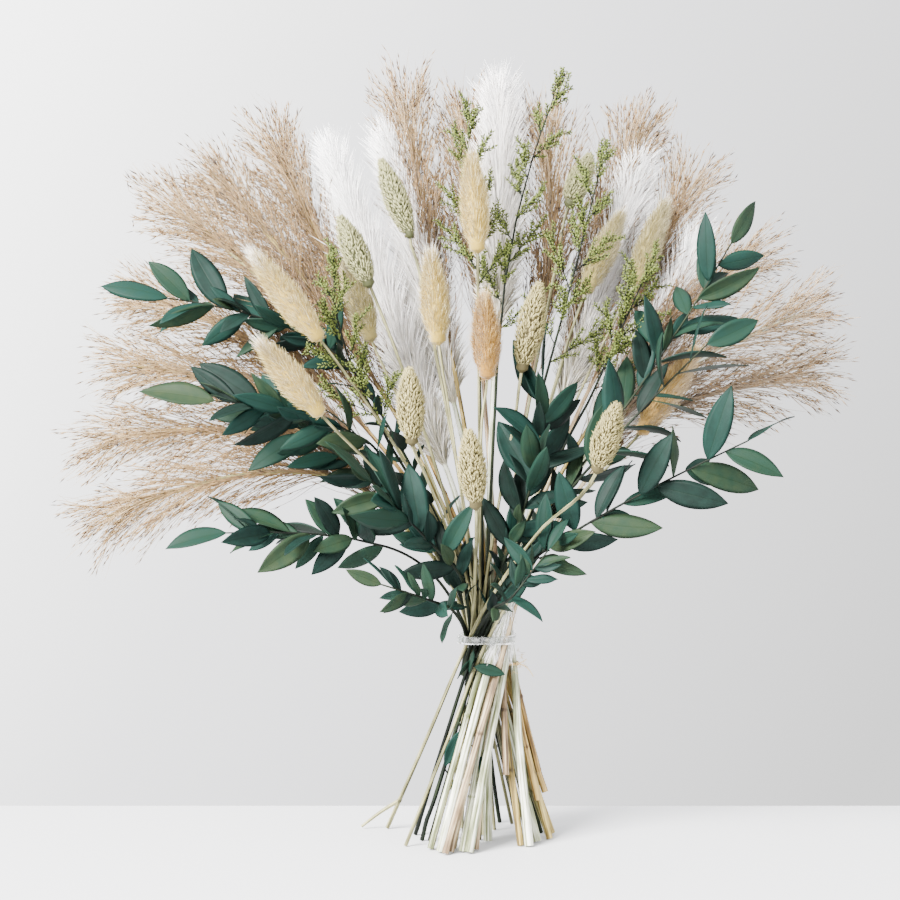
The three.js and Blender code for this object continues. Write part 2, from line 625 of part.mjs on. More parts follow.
const LOOKS = {
  reed: (plant) =>
    plume(plant, {
      rows: 10,
      sides: 5,
      length: 60,
      coreShare: 0.86,
      coreSwell: 0.5,
      branchGirth: 2.4,
      tipRadius: 0.7,
      openAngle: 30,
      closeAngle: 12,
      swellFrom: 0.22,
      swellTo: 0.86,
    }),
  pampas: (plant) =>
    plume(plant, {
      rows: 17,
      sides: 5,
      length: 46,
      coreShare: 0.9,
      coreSwell: 3.2,
      branchGirth: 3,
      tipRadius: 0.9,
      openAngle: 26,
      closeAngle: 12,
      swellFrom: 0.12,
      swellTo: 0.87,
    }),
  bunny: (plant) =>
    denseHead(plant, { rows: 7, sides: 7, radius: 7.8, stand: 1.7, lift: 6.5, fullest: 0.8, twist: 0.5 }),
  canary: (plant) =>
    denseHead(plant, { rows: 8, sides: 8, radius: 7.4, stand: 1.1, lift: 2.2, fullest: 0.85, twist: 0.5 }),
  lavender: tuftedStem,
  ruscus: leafyStem,
};

// ---- Ties ---------------------------------------------------------------------------------------

// A loop of strap round some stems at one height: it follows the hull of the stems with a little air.
function loopRound(plants, height, { width, thickness, air, sides }) {
  const edges = [height - width / 2 - 0.3, height, height + width / 2 + 0.3];
  const spots = plants.flatMap((plant) =>
    edges.map((z) => {
      const stem = plant.axis.stem;
      const k = Math.max(1, stem.findIndex((p) => p.z >= z));
      const at = point(stem[k - 1], stem[k], (z - stem[k - 1].z) / (stem[k].z - stem[k - 1].z));
      const lean = stem[k].clone().sub(stem[k - 1]);
      const spread = Math.hypot(lean.x, lean.y, lean.z) / lean.z;
      return { at, radius: stemRadius(plant, z) * spread };
    })
  );
  const reach = (angle, extra) =>
    Math.max(...spots.map(({ at, radius }) => at.x * Math.cos(angle) + at.y * Math.sin(angle) + radius)) + extra;
  const outline = (extra) => {
    const list = [];
    for (let j = 0; j < sides; j++) {
      const [a, b] = [j, j + 1].map((i) => (i / sides) * 2 * Math.PI);
      const [ra, rb] = [reach(a, extra), reach(b, extra)];
      const turn = Math.sin(b - a);
      list.push(
        new THREE.Vector2(
          (ra * Math.sin(b) - rb * Math.sin(a)) / turn,
          (rb * Math.cos(a) - ra * Math.cos(b)) / turn
        )
      );
    }
    return list;
  };
  const shape = new THREE.Shape(outline(air + thickness));
  shape.holes.push(new THREE.Path(outline(air)));
  const geometry = new THREE.ExtrudeGeometry(shape, { depth: width, bevelEnabled: false });
  return geometry.translate(0, 0, height - width / 2);
}

// ---- The bouquet --------------------------------------------------------------------------------

settle(PLANTS);
for (const plant of PLANTS) plant.axis = settledAxis(plant);

// First every axis and dense head takes its place, then what grows on them fits in between.
for (const plant of PLANTS) {
  const stem = stemParts(plant);
  addRods(plant, "stem", stem.points, stem.radii);
  const head = headPoints(plant, 5);
  const isThick = ["bunny", "canary", "pampas"].includes(plant.kind);
  const girth = isThick ? 0.85 * plant.girth : plant.neckRadius;
  addRods(plant, "core", head, head.map((_, i) => (isThick && (i === 0 || i === 5) ? 0.55 * girth : girth)));
}

const bouquet = new THREE.Group();

function addMesh(name, geometry, colour, extra = {}) {
  const material = new THREE.MeshStandardMaterial({ color: colour, roughness: 0.85, metalness: 0, ...extra });
  const mesh = new THREE.Mesh(geometry, material);
  mesh.name = name;
  bouquet.add(mesh);
}

const BUILD_ORDER = ["bunny", "canary", "ruscus", "lavender", "pampas", "reed"];
for (const kind of BUILD_ORDER)
  for (const plant of PLANTS.filter((one) => one.kind === kind))
    addMesh(plant.name, geometryFrom(LOOKS[kind](plant)), plant.colour);

const bandSize = { ...BAND, width: BAND.height };
addMesh("clear_band", loopRound(PLANTS, TIE_HEIGHT, bandSize), "#e9ebe8", { roughness: 0.2 });
const held = PLANTS.filter((plant) => RAFFIA_ROUND.includes(plant.name));
addMesh("raffia_tie", loopRound(held, RAFFIA.height, RAFFIA), "#d9bd84");

export default bouquet;
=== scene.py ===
"""The looks of a hand-tied bouquet of dried grasses, which stands on its cut stems.

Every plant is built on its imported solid: the solid gives the line of the stem, and where each branch,
tuft, scale and leaf starts and ends. Sizes are in millimetres until a mesh is made, which is in metres.
"""
import math

import bpy
import numpy as np
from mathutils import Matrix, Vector


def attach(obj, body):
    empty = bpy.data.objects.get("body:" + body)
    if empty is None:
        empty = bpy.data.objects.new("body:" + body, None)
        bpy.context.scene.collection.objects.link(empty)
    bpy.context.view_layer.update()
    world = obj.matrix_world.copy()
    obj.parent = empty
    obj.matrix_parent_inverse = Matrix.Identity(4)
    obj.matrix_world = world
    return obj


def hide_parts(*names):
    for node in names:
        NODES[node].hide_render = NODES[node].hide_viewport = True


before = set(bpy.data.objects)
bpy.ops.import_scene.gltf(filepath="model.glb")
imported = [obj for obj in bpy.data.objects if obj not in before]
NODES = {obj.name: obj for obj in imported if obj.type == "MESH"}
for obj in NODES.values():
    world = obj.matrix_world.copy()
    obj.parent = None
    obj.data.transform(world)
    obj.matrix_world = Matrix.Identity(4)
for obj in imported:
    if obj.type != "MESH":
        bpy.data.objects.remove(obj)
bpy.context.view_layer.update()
MM = 0.001
ROUND = 2 * np.pi
DOWN = np.array([0.0, 0.0, -1.0])
SIDEWAYS = np.array([1.0, 0.0, 0.0])

# ---- Camera, floor and light --------------------------------------------------------------------

CAMERA_AT = (-20.6, -1000.0, 212.0)  # level with the middle of the picture
FOCAL_PIXELS = 1841.0  # focal length in pixels of the 900 pixel wide frame
FRAME_PIXELS = 900.0
SENSOR = 36.0
FLOOR_BACK = 98.0  # the floor ends this far behind the middle of the bouquet
SOFT_LIGHT = 2.8  # the even light that comes from all sides
BACKDROP = 5.5  # how bright the surround looks behind the bouquet, where it is brightest
SURROUND_SPAN = (-0.36, 0.3)  # the directions between which the painted light of the surround goes from bright to dark
SURROUND_STOPS = (0, 0.24, 0.4, 0.55, 0.73, 1)
SURROUND = ("#ffffff", "#d3d3d3", "#bcbcbe", "#b0b0b2", "#a1a1a2", "#8b8b8b")


def linear(code):
    """An sRGB hex colour as linear red, green, blue and alpha."""
    values = [int(code[i : i + 2], 16) / 255 for i in (1, 3, 5)]
    return [v / 12.92 if v <= 0.04045 else ((v + 0.055) / 1.055) ** 2.4 for v in values] + [1.0]


def add_node(tree, kind, links=None, **settings):
    """Adds a node to a tree, with its settings, and links its inputs."""
    node = tree.nodes.new(kind)
    for key, value in settings.items():
        setattr(node, key, value)
    for key, source in (links or {}).items():
        tree.links.new(source, node.inputs[key])
    return node


def set_inputs(node, values):
    for socket, value in values.items():
        node.inputs[socket].default_value = value


def make_camera():
    data = bpy.data.cameras.new("camera")
    data.sensor_width = SENSOR
    data.lens = SENSOR * FOCAL_PIXELS / FRAME_PIXELS
    data.clip_end = 20
    camera = bpy.data.objects.new("camera", data)
    camera.location = Vector(CAMERA_AT) * MM
    camera.rotation_euler = (math.pi / 2, 0, 0)
    bpy.context.scene.collection.objects.link(camera)
    bpy.context.scene.camera = camera


def make_light(name, at, size, power, colour):
    """A soft square light that faces the middle of the bouquet."""
    data = bpy.data.lights.new(name, "AREA")
    data.size = size
    data.energy = power
    data.color = linear(colour)[:3]
    light = bpy.data.objects.new(name, data)
    light.location = at
    aim = Vector((0, 0, 0.2)) - light.location
    light.rotation_euler = aim.to_track_quat("-Z", "Y").to_euler()
    bpy.context.scene.collection.objects.link(light)


def make_floor():
    """A pale painted board that the cut ends stand on."""
    half, front, low = 1.6, -1.2, -0.0002  # metres; it lies a hair below the cut ends
    back = FLOOR_BACK * MM
    mesh = bpy.data.meshes.new("floor")
    corners = [(-half, front, low), (half, front, low), (half, back, low), (-half, back, low)]
    mesh.from_pydata(corners, [], [(0, 1, 2, 3)])
    floor = bpy.data.objects.new("floor", mesh)
    bpy.context.scene.collection.objects.link(floor)
    material, _, surface = start_material("painted_board")
    set_inputs(surface, {"Base Color": linear("#c0c1c4"), "Roughness": 0.6})
    mesh.materials.append(material)


def make_world():
    """A pale surround with painted light and shade: bright at the upper left, darker to the lower right; the
    light it gives is even.
    """
    world = bpy.data.worlds.new("soft_surround")
    world.use_nodes = True
    tree = world.node_tree
    background = tree.nodes["Background"]
    way = add_node(tree, "ShaderNodeTexCoord").outputs["Generated"]
    across, _, up = add_node(tree, "ShaderNodeSeparateXYZ", {"Vector": way}).outputs
    place = math_node(tree, "SUBTRACT", across, math_node(tree, "MULTIPLY", up, 0.5))
    share = add_node(tree, "ShaderNodeMapRange", {"Value": place})
    set_inputs(share, dict(zip(("From Min", "From Max"), SURROUND_SPAN)))
    seen = add_node(tree, "ShaderNodeLightPath").outputs["Is Camera Ray"]
    shade = add_node(tree, "ShaderNodeMix", {"Factor": seen}, data_type="RGBA")
    shade.inputs[6].default_value = [SOFT_LIGHT / BACKDROP] * 3 + [1]
    tree.links.new(ramp(tree, share.outputs[0], SURROUND_STOPS, SURROUND), shade.inputs[7])
    tree.links.new(shade.outputs[2], background.inputs["Color"])
    background.inputs["Strength"].default_value = BACKDROP
    bpy.context.scene.world = world


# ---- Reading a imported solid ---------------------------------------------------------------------


class Solid:
    """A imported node's points in millimetres, and which points are joined by an edge."""

    def __init__(self, name):
        mesh = NODES[name].data
        place = np.empty(len(mesh.vertices) * 3, np.float32)
        mesh.vertices.foreach_get("co", place)
        corners = np.empty(len(mesh.loops), np.int32)
        mesh.loops.foreach_get("vertex_index", corners)
        place = np.round(place.reshape(-1, 3).astype(float) / MM, 3)
        self.points, merged = np.unique(place, axis=0, return_inverse=True)
        self.triangles = merged.ravel()[corners].reshape(-1, 3)
        self.joined = [set() for _ in self.points]
        for triangle in self.triangles:
            for i in triangle:
                self.joined[i].update(int(j) for j in triangle if j != i)
        lowest = self.points[:, 2].min()
        self.foot = {i for i, p in enumerate(self.points) if p[2] < lowest + 0.02}

    def middle(self, some):
        return self.points[sorted(some)].mean(0)

    def tube(self, rings):
        """The middle and the radius of every ring."""
        middles = np.array([self.middle(ring) for ring in rings])
        spokes = [self.points[sorted(ring)] - middle for ring, middle in zip(rings, middles)]
        return middles, np.array([np.linalg.norm(some, axis=1).mean() for some in spokes])

    def peaks(self):
        """Points raised over four corners, which are the tips of branches, bristles and scales."""
        found = {}
        for i, near in enumerate(self.joined):
            closed = all(len(self.joined[j] & near) == 2 for j in near)
            if len(near) == 4 and closed and i not in self.foot:
                found[i] = near
        return found

    def rings(self, first, leave_out=()):
        """The rings of points that follow each other along a skin, for as long as they have one size."""
        seen = set(first) | set(leave_out)
        rings = [set(first)]
        while True:
            ring = set().union(*(self.joined[i] for i in rings[-1])) - seen
            if not ring or (len(rings) > 1 and len(ring) not in (1, len(rings[1]))):
                return rings
            seen |= ring
            rings.append(ring)

    def bloom(self, peaks):
        """The rings of a dense head, from its lowest ring to its tip."""
        tips = [i for i, near in enumerate(self.joined) if len(near) in (7, 8) and not near & set(peaks)]
        tip = max(tips, key=lambda i: self.points[i][2])
        return self.rings({tip}, peaks)[::-1]

    def slice_at(self, height, near, reach):
        """The middle of the cut through the skin at a height, close to a place, or nothing."""
        corners = self.points[self.triangles]
        above = corners[:, :, 2] > height
        crossed = corners[above.any(1) & ~above.all(1)]
        total, weight = np.zeros(2), 0.0
        for triangle in crossed:
            ends = []
            for a, b in ((0, 1), (1, 2), (2, 0)):
                low, high = triangle[a], triangle[b]
                if (low[2] > height) != (high[2] > height):
                    ends.append((low + (high - low) * (height - low[2]) / (high[2] - low[2]))[:2])
            centre = (ends[0] + ends[1]) / 2
            length = np.linalg.norm(ends[0] - ends[1])
            if np.linalg.norm(centre - near) < reach:
                total += centre * length
                weight += length
        return total / weight if weight else None

    def climb(self, top, step=9.0, reach=2.4):
        """A bare stem's line from its foot up to a height, found by slicing it."""
        line = [self.middle(self.foot)]
        lean = np.zeros(2)
        for height in np.arange(line[0][2] + 1.5, top, step):
            rise = height - line[-1][2]
            place = self.slice_at(height, line[-1][:2] + lean * rise, reach)
            if place is None:
                continue
            if len(line) > 1:
                lean = (place - line[-1][:2]) / rise
            line.append(np.array([*place, height]))
        return np.array(line)


def unit(v):
    return v / np.maximum(np.linalg.norm(v, axis=-1, keepdims=True), 1e-9)


def turned(v, axis, angle):
    """v turned about an axis, for single vectors or rows of them."""
    angle = np.asarray(angle)[..., None]
    along = (v * axis).sum(-1, keepdims=True) * axis
    return v * np.cos(angle) + np.cross(axis, v) * np.sin(angle) + along * (1 - np.cos(angle))


def square_to(axis, rough):
    """The part of a direction that is square to an axis, at unit length."""
    return unit(rough - (rough * axis).sum(-1, keepdims=True) * axis)


def fading(share, over):
    """1 at the start of a share, and down to 0 where the share comes to over."""
    return np.clip(1 - share / over, 0, 1)


def at_height(points, height):
    """Where a line that rises through some points reaches a height."""
    return np.array([np.interp(height, points[:, 2], points[:, k]) for k in range(3)])


class Line:
    """A smooth line through points, which can be asked for its place and direction at any share."""

    def __init__(self, points, values=()):
        points = np.asarray(points, float)
        steps = np.linalg.norm(np.diff(points, axis=0), axis=1)
        self.at = np.concatenate([[0], np.cumsum(steps)])
        self.length = self.at[-1]
        self.points = points
        self.slopes = np.gradient(points, self.at, axis=0)
        self.values = np.asarray(values, float) if len(values) else None

    def place(self, share):
        s = np.clip(np.asarray(share, float), 0, 1) * self.length
        k = np.clip(np.searchsorted(self.at, s, side="right") - 1, 0, len(self.at) - 2)
        step = self.at[k + 1] - self.at[k]
        t = ((s - self.at[k]) / step)[..., None]
        a, b = self.points[k], self.points[k + 1]
        ma, mb = self.slopes[k] * step[..., None], self.slopes[k + 1] * step[..., None]
        start = a * (2 * t**3 - 3 * t**2 + 1) + ma * (t**3 - 2 * t**2 + t)
        return start + b * (3 * t**2 - 2 * t**3) + mb * (t**3 - t**2)

    def along(self, share):
        share = np.asarray(share, float)
        return unit(self.place(share + 0.01) - self.place(share - 0.01))

    def value(self, share):
        return np.interp(np.clip(share, 0, 1) * self.length, self.at, self.values)

    def share_at(self, height):
        """The share at which a line that rises reaches a height."""
        shares = np.linspace(0, 1, 400)
        return np.interp(height, self.place(shares)[:, 2], shares)


# ---- Trees that sweep and scatter ---------------------------------------------------------------


def begin_tree(name, inputs):
    tree = bpy.data.node_groups.new(name, "GeometryNodeTree")
    tree.interface.new_socket("Geometry", in_out="INPUT", socket_type="NodeSocketGeometry")
    for label, kind in inputs:
        tree.interface.new_socket(label, in_out="INPUT", socket_type=kind)
    tree.interface.new_socket("Geometry", in_out="OUTPUT", socket_type="NodeSocketGeometry")
    return tree, add_node(tree, "NodeGroupInput").outputs


def end_tree(tree, geometry, material):
    real = add_node(tree, "GeometryNodeRealizeInstances", {"Geometry": geometry})
    painted = add_node(tree, "GeometryNodeSetMaterial", {"Geometry": real.outputs[0], "Material": material})
    add_node(tree, "NodeGroupOutput", {"Geometry": painted.outputs[0]})
    return tree


def attribute(tree, kind, name):
    node = add_node(tree, "GeometryNodeInputNamedAttribute", data_type=kind)
    set_inputs(node, {"Name": name})
    return node.outputs["Attribute"]


def sweep_tree():
    """Sweeps a round section along every line; the attribute girth is the section's radius."""
    sockets = [("Sides", "NodeSocketInt"), ("Material", "NodeSocketMaterial")]
    tree, given = begin_tree("swept_threads", sockets)
    curve = add_node(tree, "GeometryNodeMeshToCurve", {"Mesh": given["Geometry"]})
    section = add_node(tree, "GeometryNodeCurvePrimitiveCircle", {"Resolution": given["Sides"]})
    section.inputs["Radius"].default_value = 1
    girth = attribute(tree, "FLOAT", "girth")
    links = {"Curve": curve.outputs[0], "Profile Curve": section.outputs[0], "Scale": girth}
    swept = add_node(tree, "GeometryNodeCurveToMesh", links)
    swept.inputs["Fill Caps"].default_value = True
    smooth = add_node(tree, "GeometryNodeSetShadeSmooth", {"Geometry": swept.outputs[0]})
    return end_tree(tree, smooth.outputs[0], given["Material"])


def scatter_tree():
    """Puts a copy of a small shape on every point; the attributes aim and side turn it, size scales it."""
    sockets = [("Shape", "NodeSocketObject"), ("Material", "NodeSocketMaterial")]
    tree, given = begin_tree("scattered_pieces", sockets)
    shape = add_node(tree, "GeometryNodeObjectInfo", {"Object": given["Shape"]})
    aim, side, size = (attribute(tree, "FLOAT_VECTOR", name) for name in ("aim", "side", "size"))
    links = {"Primary Axis": aim, "Secondary Axis": side}
    turn = add_node(tree, "FunctionNodeAxesToRotation", links, primary_axis="Z", secondary_axis="X")
    links = {"Points": given["Geometry"], "Instance": shape.outputs["Geometry"]}
    links.update({"Rotation": turn.outputs[0], "Scale": size})
    copies = add_node(tree, "GeometryNodeInstanceOnPoints", links)
    return end_tree(tree, copies.outputs[0], given["Material"])


SWEEP = sweep_tree()
SCATTER = scatter_tree()


def new_object(name, points, edges=(), faces=(), smooth=True):
    """A mesh object from points in millimetres."""
    mesh = bpy.data.meshes.new(name)
    mesh.from_pydata((np.asarray(points) * MM).tolist(), list(edges), list(faces))
    if len(faces) and smooth:
        mesh.shade_smooth()
    made = bpy.data.objects.new(name, mesh)
    bpy.context.scene.collection.objects.link(made)
    return made


def set_attribute(made, name, kind, values):
    layer = made.data.attributes.new(name, kind, "POINT")
    key = "vector" if kind == "FLOAT_VECTOR" else "value"
    layer.data.foreach_set(key, np.asarray(values, np.float32).ravel())


def made_by(tree, source, values):
    """The mesh that a tree makes from an object, as a plain object; the source is removed."""
    modifier = source.modifiers.new("made", "NODES")
    modifier.node_group = tree
    for item in tree.interface.items_tree:
        if item.in_out == "INPUT" and item.name in values:
            modifier[item.identifier] = values[item.name]
    graph = bpy.context.evaluated_depsgraph_get()
    mesh = bpy.data.meshes.new_from_object(source.evaluated_get(graph), depsgraph=graph)
    source.modifiers.remove(modifier)
    made = bpy.data.objects.new(source.name, mesh)
    bpy.data.objects.remove(source)
    bpy.context.scene.collection.objects.link(made)
    return made


def sweep(name, batches, sides, material):
    """Threads from batches of (points, girth, tone), whose points are (threads, points on each, 3)."""
    points, edges, girths, tones = [], [], [], []
    base = 0
    for place, girth, tone in batches:
        threads, count = place.shape[:2]
        index = base + np.arange(threads * count).reshape(threads, count)
        edges.append(np.stack([index[:, :-1], index[:, 1:]], -1).reshape(-1, 2))
        points.append(place.reshape(-1, 3))
        girths.append(np.broadcast_to(girth, (threads, count)).ravel() * MM)
        tone = np.asarray(tone, float)
        tones.append(np.broadcast_to(tone[:, None] if tone.ndim == 1 else tone, (threads, count)).ravel())
        base += threads * count
    points = np.concatenate(points)
    source = new_object(name, points, np.concatenate(edges).tolist())
    set_attribute(source, "middle", "FLOAT_VECTOR", points * MM)
    set_attribute(source, "girth", "FLOAT", np.concatenate(girths))
    set_attribute(source, "tone", "FLOAT", np.concatenate(tones))
    return made_by(SWEEP, source, {"Sides": sides, "Material": material})


def scatter(name, shape, points, aim, side, size, tone, material):
    """Copies of a shape, one millimetre long at size 1, whose own z axis looks along aim."""
    shape.data.materials.clear()
    shape.data.materials.append(material)
    source = new_object(name, points)
    for key, values in (("aim", aim), ("side", side), ("size", size)):
        set_attribute(source, key, "FLOAT_VECTOR", values)
    set_attribute(source, "tone", "FLOAT", tone)
    return made_by(SCATTER, source, {"Shape": shape, "Material": material})


def together(shapes):
    """The points and the faces of several shapes as one."""
    points, faces, base = [], [], 0
    for place, sides in shapes:
        points.append(place)
        faces += [tuple(int(i) + base for i in face) for face in sides]
        base += len(place)
    return np.concatenate(points), faces


def join(name, parts):
    """One object from several, which keeps their materials."""
    if len(parts) > 1:
        with bpy.context.temp_override(active_object=parts[0], selected_editable_objects=parts):
            bpy.ops.object.join()
    parts[0].name = name
    parts[0].data.name = name
    return parts[0]


def finish_piece(node, parts):
    piece = join(f"{node}_fine", parts)
    for layer in ("girth", "aim", "side", "size"):
        if layer in piece.data.attributes:
            piece.data.attributes.remove(piece.data.attributes[layer])
    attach(piece, "root")
    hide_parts(node)


def bowed(start, bend_a, bend_b, end, count):
    """Points along cubic curves, one curve a row."""
    t = np.linspace(0, 1, count)[None, :, None]
    start, bend_a, bend_b, end = (v[:, None, :] for v in (start, bend_a, bend_b, end))
    return (1 - t) ** 3 * start + 3 * t * (1 - t) ** 2 * bend_a + 3 * t**2 * (1 - t) * bend_b + t**3 * end


def bowed_once(start, bend_a, bend_b, end, count):
    """Points along one cubic curve."""
    return bowed(*(point[None] for point in (start, bend_a, bend_b, end)), count)[0]


# ---- Finishes -----------------------------------------------------------------------------------


def start_material(name):
    material = bpy.data.materials.new(name)
    material.use_nodes = True
    return material, material.node_tree, material.node_tree.nodes["Principled BSDF"]


def ramp(tree, source, places, colours):
    """A colour ramp with a hex colour at every place."""
    node = add_node(tree, "ShaderNodeValToRGB", {"Fac": source})
    elements = node.color_ramp.elements
    while len(elements) < len(places):
        elements.new(0.5)
    for element, place, colour in zip(elements, places, colours):
        element.position = place
        element.color = linear(colour)
    return node.outputs["Color"]


def noise_mm(tree, size, stretch=(1, 1, 1), detail=2.0):
    """Noise in Object coordinates whose patches are about a size in millimetres."""
    place = add_node(tree, "ShaderNodeTexCoord").outputs["Object"]
    scaled = add_node(tree, "ShaderNodeMapping", {"Vector": place})
    scaled.inputs["Scale"].default_value = stretch
    node = add_node(tree, "ShaderNodeTexNoise", {"Vector": scaled.outputs[0]})
    set_inputs(node, {"Scale": 1 / (size * MM), "Detail": detail})
    return node.outputs["Fac"]


def math_node(tree, operation, a, b):
    node = add_node(tree, "ShaderNodeMath", operation=operation)
    for socket, value in zip(node.inputs, (a, b)):
        if isinstance(value, (int, float)):
            socket.default_value = value
        else:
            tree.links.new(value, socket)
    return node.outputs[0]


def mix_of(tree, *parts, less=0.0):
    """The sum of some parts, each a source and its weight, less a constant."""
    total = None
    for source, weight in parts:
        part = math_node(tree, "MULTIPLY", source, weight)
        total = part if total is None else math_node(tree, "ADD", total, part)
    return math_node(tree, "SUBTRACT", total, less) if less else total


def mix_colours(tree, share, colour, other, blend="MIX"):
    """A colour with a share of another mixed in, which is a hex code."""
    node = add_node(tree, "ShaderNodeMix", {"Factor": share}, data_type="RGBA", blend_type=blend)
    tree.links.new(colour, node.inputs[6])
    node.inputs[7].default_value = linear(other)
    return node.outputs[2]


def tone_of(tree):
    return add_node(tree, "ShaderNodeAttribute", attribute_name="tone").outputs["Fac"]


def paint(tree, shader, colour, roughness, gloss):
    tree.links.new(colour, shader.inputs["Base Color"])
    set_inputs(shader, {"Roughness": roughness, "Specular IOR Level": gloss})


def bump(tree, shader, height, depth_mm):
    node = add_node(tree, "ShaderNodeBump", {"Height": height})
    set_inputs(node, {"Strength": 1, "Distance": depth_mm * MM})
    tree.links.new(node.outputs[0], shader.inputs["Normal"])


def fibres_mm(tree, size):
    """Noise in streaks that run along a swept stem: quick across its middle line, slow along it."""
    place = add_node(tree, "ShaderNodeTexCoord").outputs["Object"]
    middle = add_node(tree, "ShaderNodeAttribute", attribute_name="middle").outputs["Vector"]
    across = add_node(tree, "ShaderNodeVectorMath", operation="SUBTRACT")
    slow = add_node(tree, "ShaderNodeVectorMath", operation="MULTIPLY_ADD")
    slow.inputs[1].default_value = (0.03, 0.03, 0.03)
    wires = ((place, across, 0), (middle, across, 1), (middle, slow, 0), (across.outputs[0], slow, 2))
    for source, node, socket in wires:
        tree.links.new(source, node.inputs[socket])
    node = add_node(tree, "ShaderNodeTexNoise", {"Vector": slow.outputs[0]})
    set_inputs(node, {"Scale": 1 / (size * MM), "Detail": 3})
    return node.outputs["Fac"]


def dry_stem(name, colours, places=(0.1, 0.5, 0.9), gloss=0.3):
    """A dried stem or strand: a matt skin with fine fibres along it, mottled in patches."""
    material, tree, shader = start_material(name)
    fibres = fibres_mm(tree, 1.1)
    patches = noise_mm(tree, 9, (1, 1, 0.5), 3)
    tone = mix_of(tree, (fibres, 2.6), (patches, 1.1), (tone_of(tree), 0.5), less=1.6)
    paint(tree, shader, ramp(tree, tone, places, colours), 0.62, gloss)
    bump(tree, shader, fibres, 0.3)
    return material


def hair(name, places, colours, sheen):
    """Fine dry hairs, bristles or spikelets: matt, each with its own tone, and a soft sheen."""
    material, tree, shader = start_material(name)
    tone = mix_of(tree, (tone_of(tree), 0.8), (noise_mm(tree, 6), 0.2))
    paint(tree, shader, ramp(tree, tone, places, colours), 0.75, 0.2)
    set_inputs(shader, {"Sheen Weight": sheen, "Sheen Roughness": 0.5})
    return material


def leaf_finish(name, places, colours, underside):
    """Preserved ruscus: dyed and glycerined, so it is supple and satin, with fine veins to the tip."""
    material, tree, shader = start_material(name)
    blade = add_node(tree, "ShaderNodeAttribute", attribute_name="blade").outputs["Vector"]
    across, _, face = add_node(tree, "ShaderNodeSeparateXYZ", {"Vector": blade}).outputs
    tone = mix_of(tree, (tone_of(tree), 0.75), (noise_mm(tree, 5, detail=3), 0.3))
    inwards = math_node(tree, "SUBTRACT", 1.0, math_node(tree, "ABSOLUTE", across, 0))
    rib = math_node(tree, "POWER", inwards, RIB_SHARPNESS)
    veins = math_node(tree, "SINE", math_node(tree, "MULTIPLY", across, VEINS * math.pi), 0)
    below = math_node(tree, "MULTIPLY", math_node(tree, "LESS_THAN", face, 0.0), 0.75)
    skin = mix_colours(tree, below, ramp(tree, tone, places, colours), underside)
    skin = mix_colours(tree, math_node(tree, "MULTIPLY", rib, 0.5), skin, "#c4cc9c", "MULTIPLY")
    paint(tree, shader, skin, 0.56, 0.06)
    height = math_node(tree, "SUBTRACT", math_node(tree, "MULTIPLY", veins, 0.12), rib)
    bump(tree, shader, height, 0.1)
    return material


def scaly(name, base, tip):
    """Papery scales, each with its own tone, that pale from a greenish base to a dry tip."""
    material, tree, shader = start_material(name)
    along = add_node(tree, "ShaderNodeAttribute", attribute_name="along").outputs["Fac"]
    tone = mix_of(tree, (tone_of(tree), 0.35), (along, 0.7))
    paint(tree, shader, ramp(tree, tone, (0.1, 0.75), (base, tip)), 0.7, 0.25)
    bump(tree, shader, noise_mm(tree, 0.5), 0.1)
    return material


def clear_film():
    """Thin clear polypropylene film: almost no colour of its own, sharp highlights on its wrinkles."""
    material, tree, shader = start_material("clear_film")
    set_inputs(shader, {"Base Color": linear("#f2f4f3"), "Roughness": 0.03})
    set_inputs(shader, {"IOR": 1.49, "Transmission Weight": 1.0})
    bump(tree, shader, noise_mm(tree, 6.0, (0.4, 0.4, 2.0), 1), 0.05)
    return material


VEINS = 5.0  # veins across a leaf
RIB_SHARPNESS = 22.0  # the power that narrows the midrib
LEAF_STOPS = (0.05, 0.3, 0.5, 0.75, 1.0)
LEAF_TONES = ("#060c09", "#0c1b17", "#0f2520", "#13241a", "#242d1c")
DOWN_STOPS = (0.1, 0.5, 0.75, 1.0)

# Dry culms: matt straw skins, streaked along by their fibres; each kind of stem has its own warmth.
STRAW = dry_stem("straw_culm", ("#3a2e12", "#77652f", "#b09d63"))
TAN_CULM = dry_stem("tan_culm", ("#3f2a10", "#765b2c", "#ac9258"))
ROSY_CULM = dry_stem("rosy_culm", ("#3a2c1c", "#6e5a40", "#a59678"))
OLIVE_CULM = dry_stem("olive_culm", ("#3a3717", "#6a6536", "#9c9868"))
# Pampas stems: the thickest and palest, almost white, with a green cast.
PALE_CULM = dry_stem("pale_pampas_culm", ("#4a4f30", "#8f9377", "#d2d3c6"))
# Thin grass stems under the dense heads: dull green going to straw.
GREEN_CULM = dry_stem("green_grass_culm", ("#33321a", "#656242", "#96926c"))
# Wiry stems of ruscus and sea lavender: nearly black green, so that leaves and bracts stand out.
DARK_CULM = dry_stem("wiry_dark_stem", ("#060906", "#0d130d", "#1c2315"), (0.15, 0.5, 0.85), gloss=0.1)
# Reed panicle: taupe threads, pale at their ends, darker near the stem (own colour and painted shade), with
# dark spikelets.
REED_AND_SHADE_TONES = ("#33230c", "#614927", "#836a45", "#b59d7b")
REED_THREADS = hair("reed_panicle_threads", (0.05, 0.35, 0.65, 0.95), REED_AND_SHADE_TONES, 0.25)
REED_SPIKELETS = hair("reed_spikelets", (0.1, 0.5, 0.9), ("#1f140a", "#4a331d", "#86683f"), 0.1)
# Pampas silk: white and soft at the top; painted shade makes it greyer and warmer deep down in the plume.
SILK_AND_SHADE_TONES = ("#665f4c", "#9a937f", "#e4e0de", "#ffffff")
PAMPAS_HAIRS = hair("silky_white_pampas", (0.08, 0.3, 0.6, 0.9), SILK_AND_SHADE_TONES, 0.4)
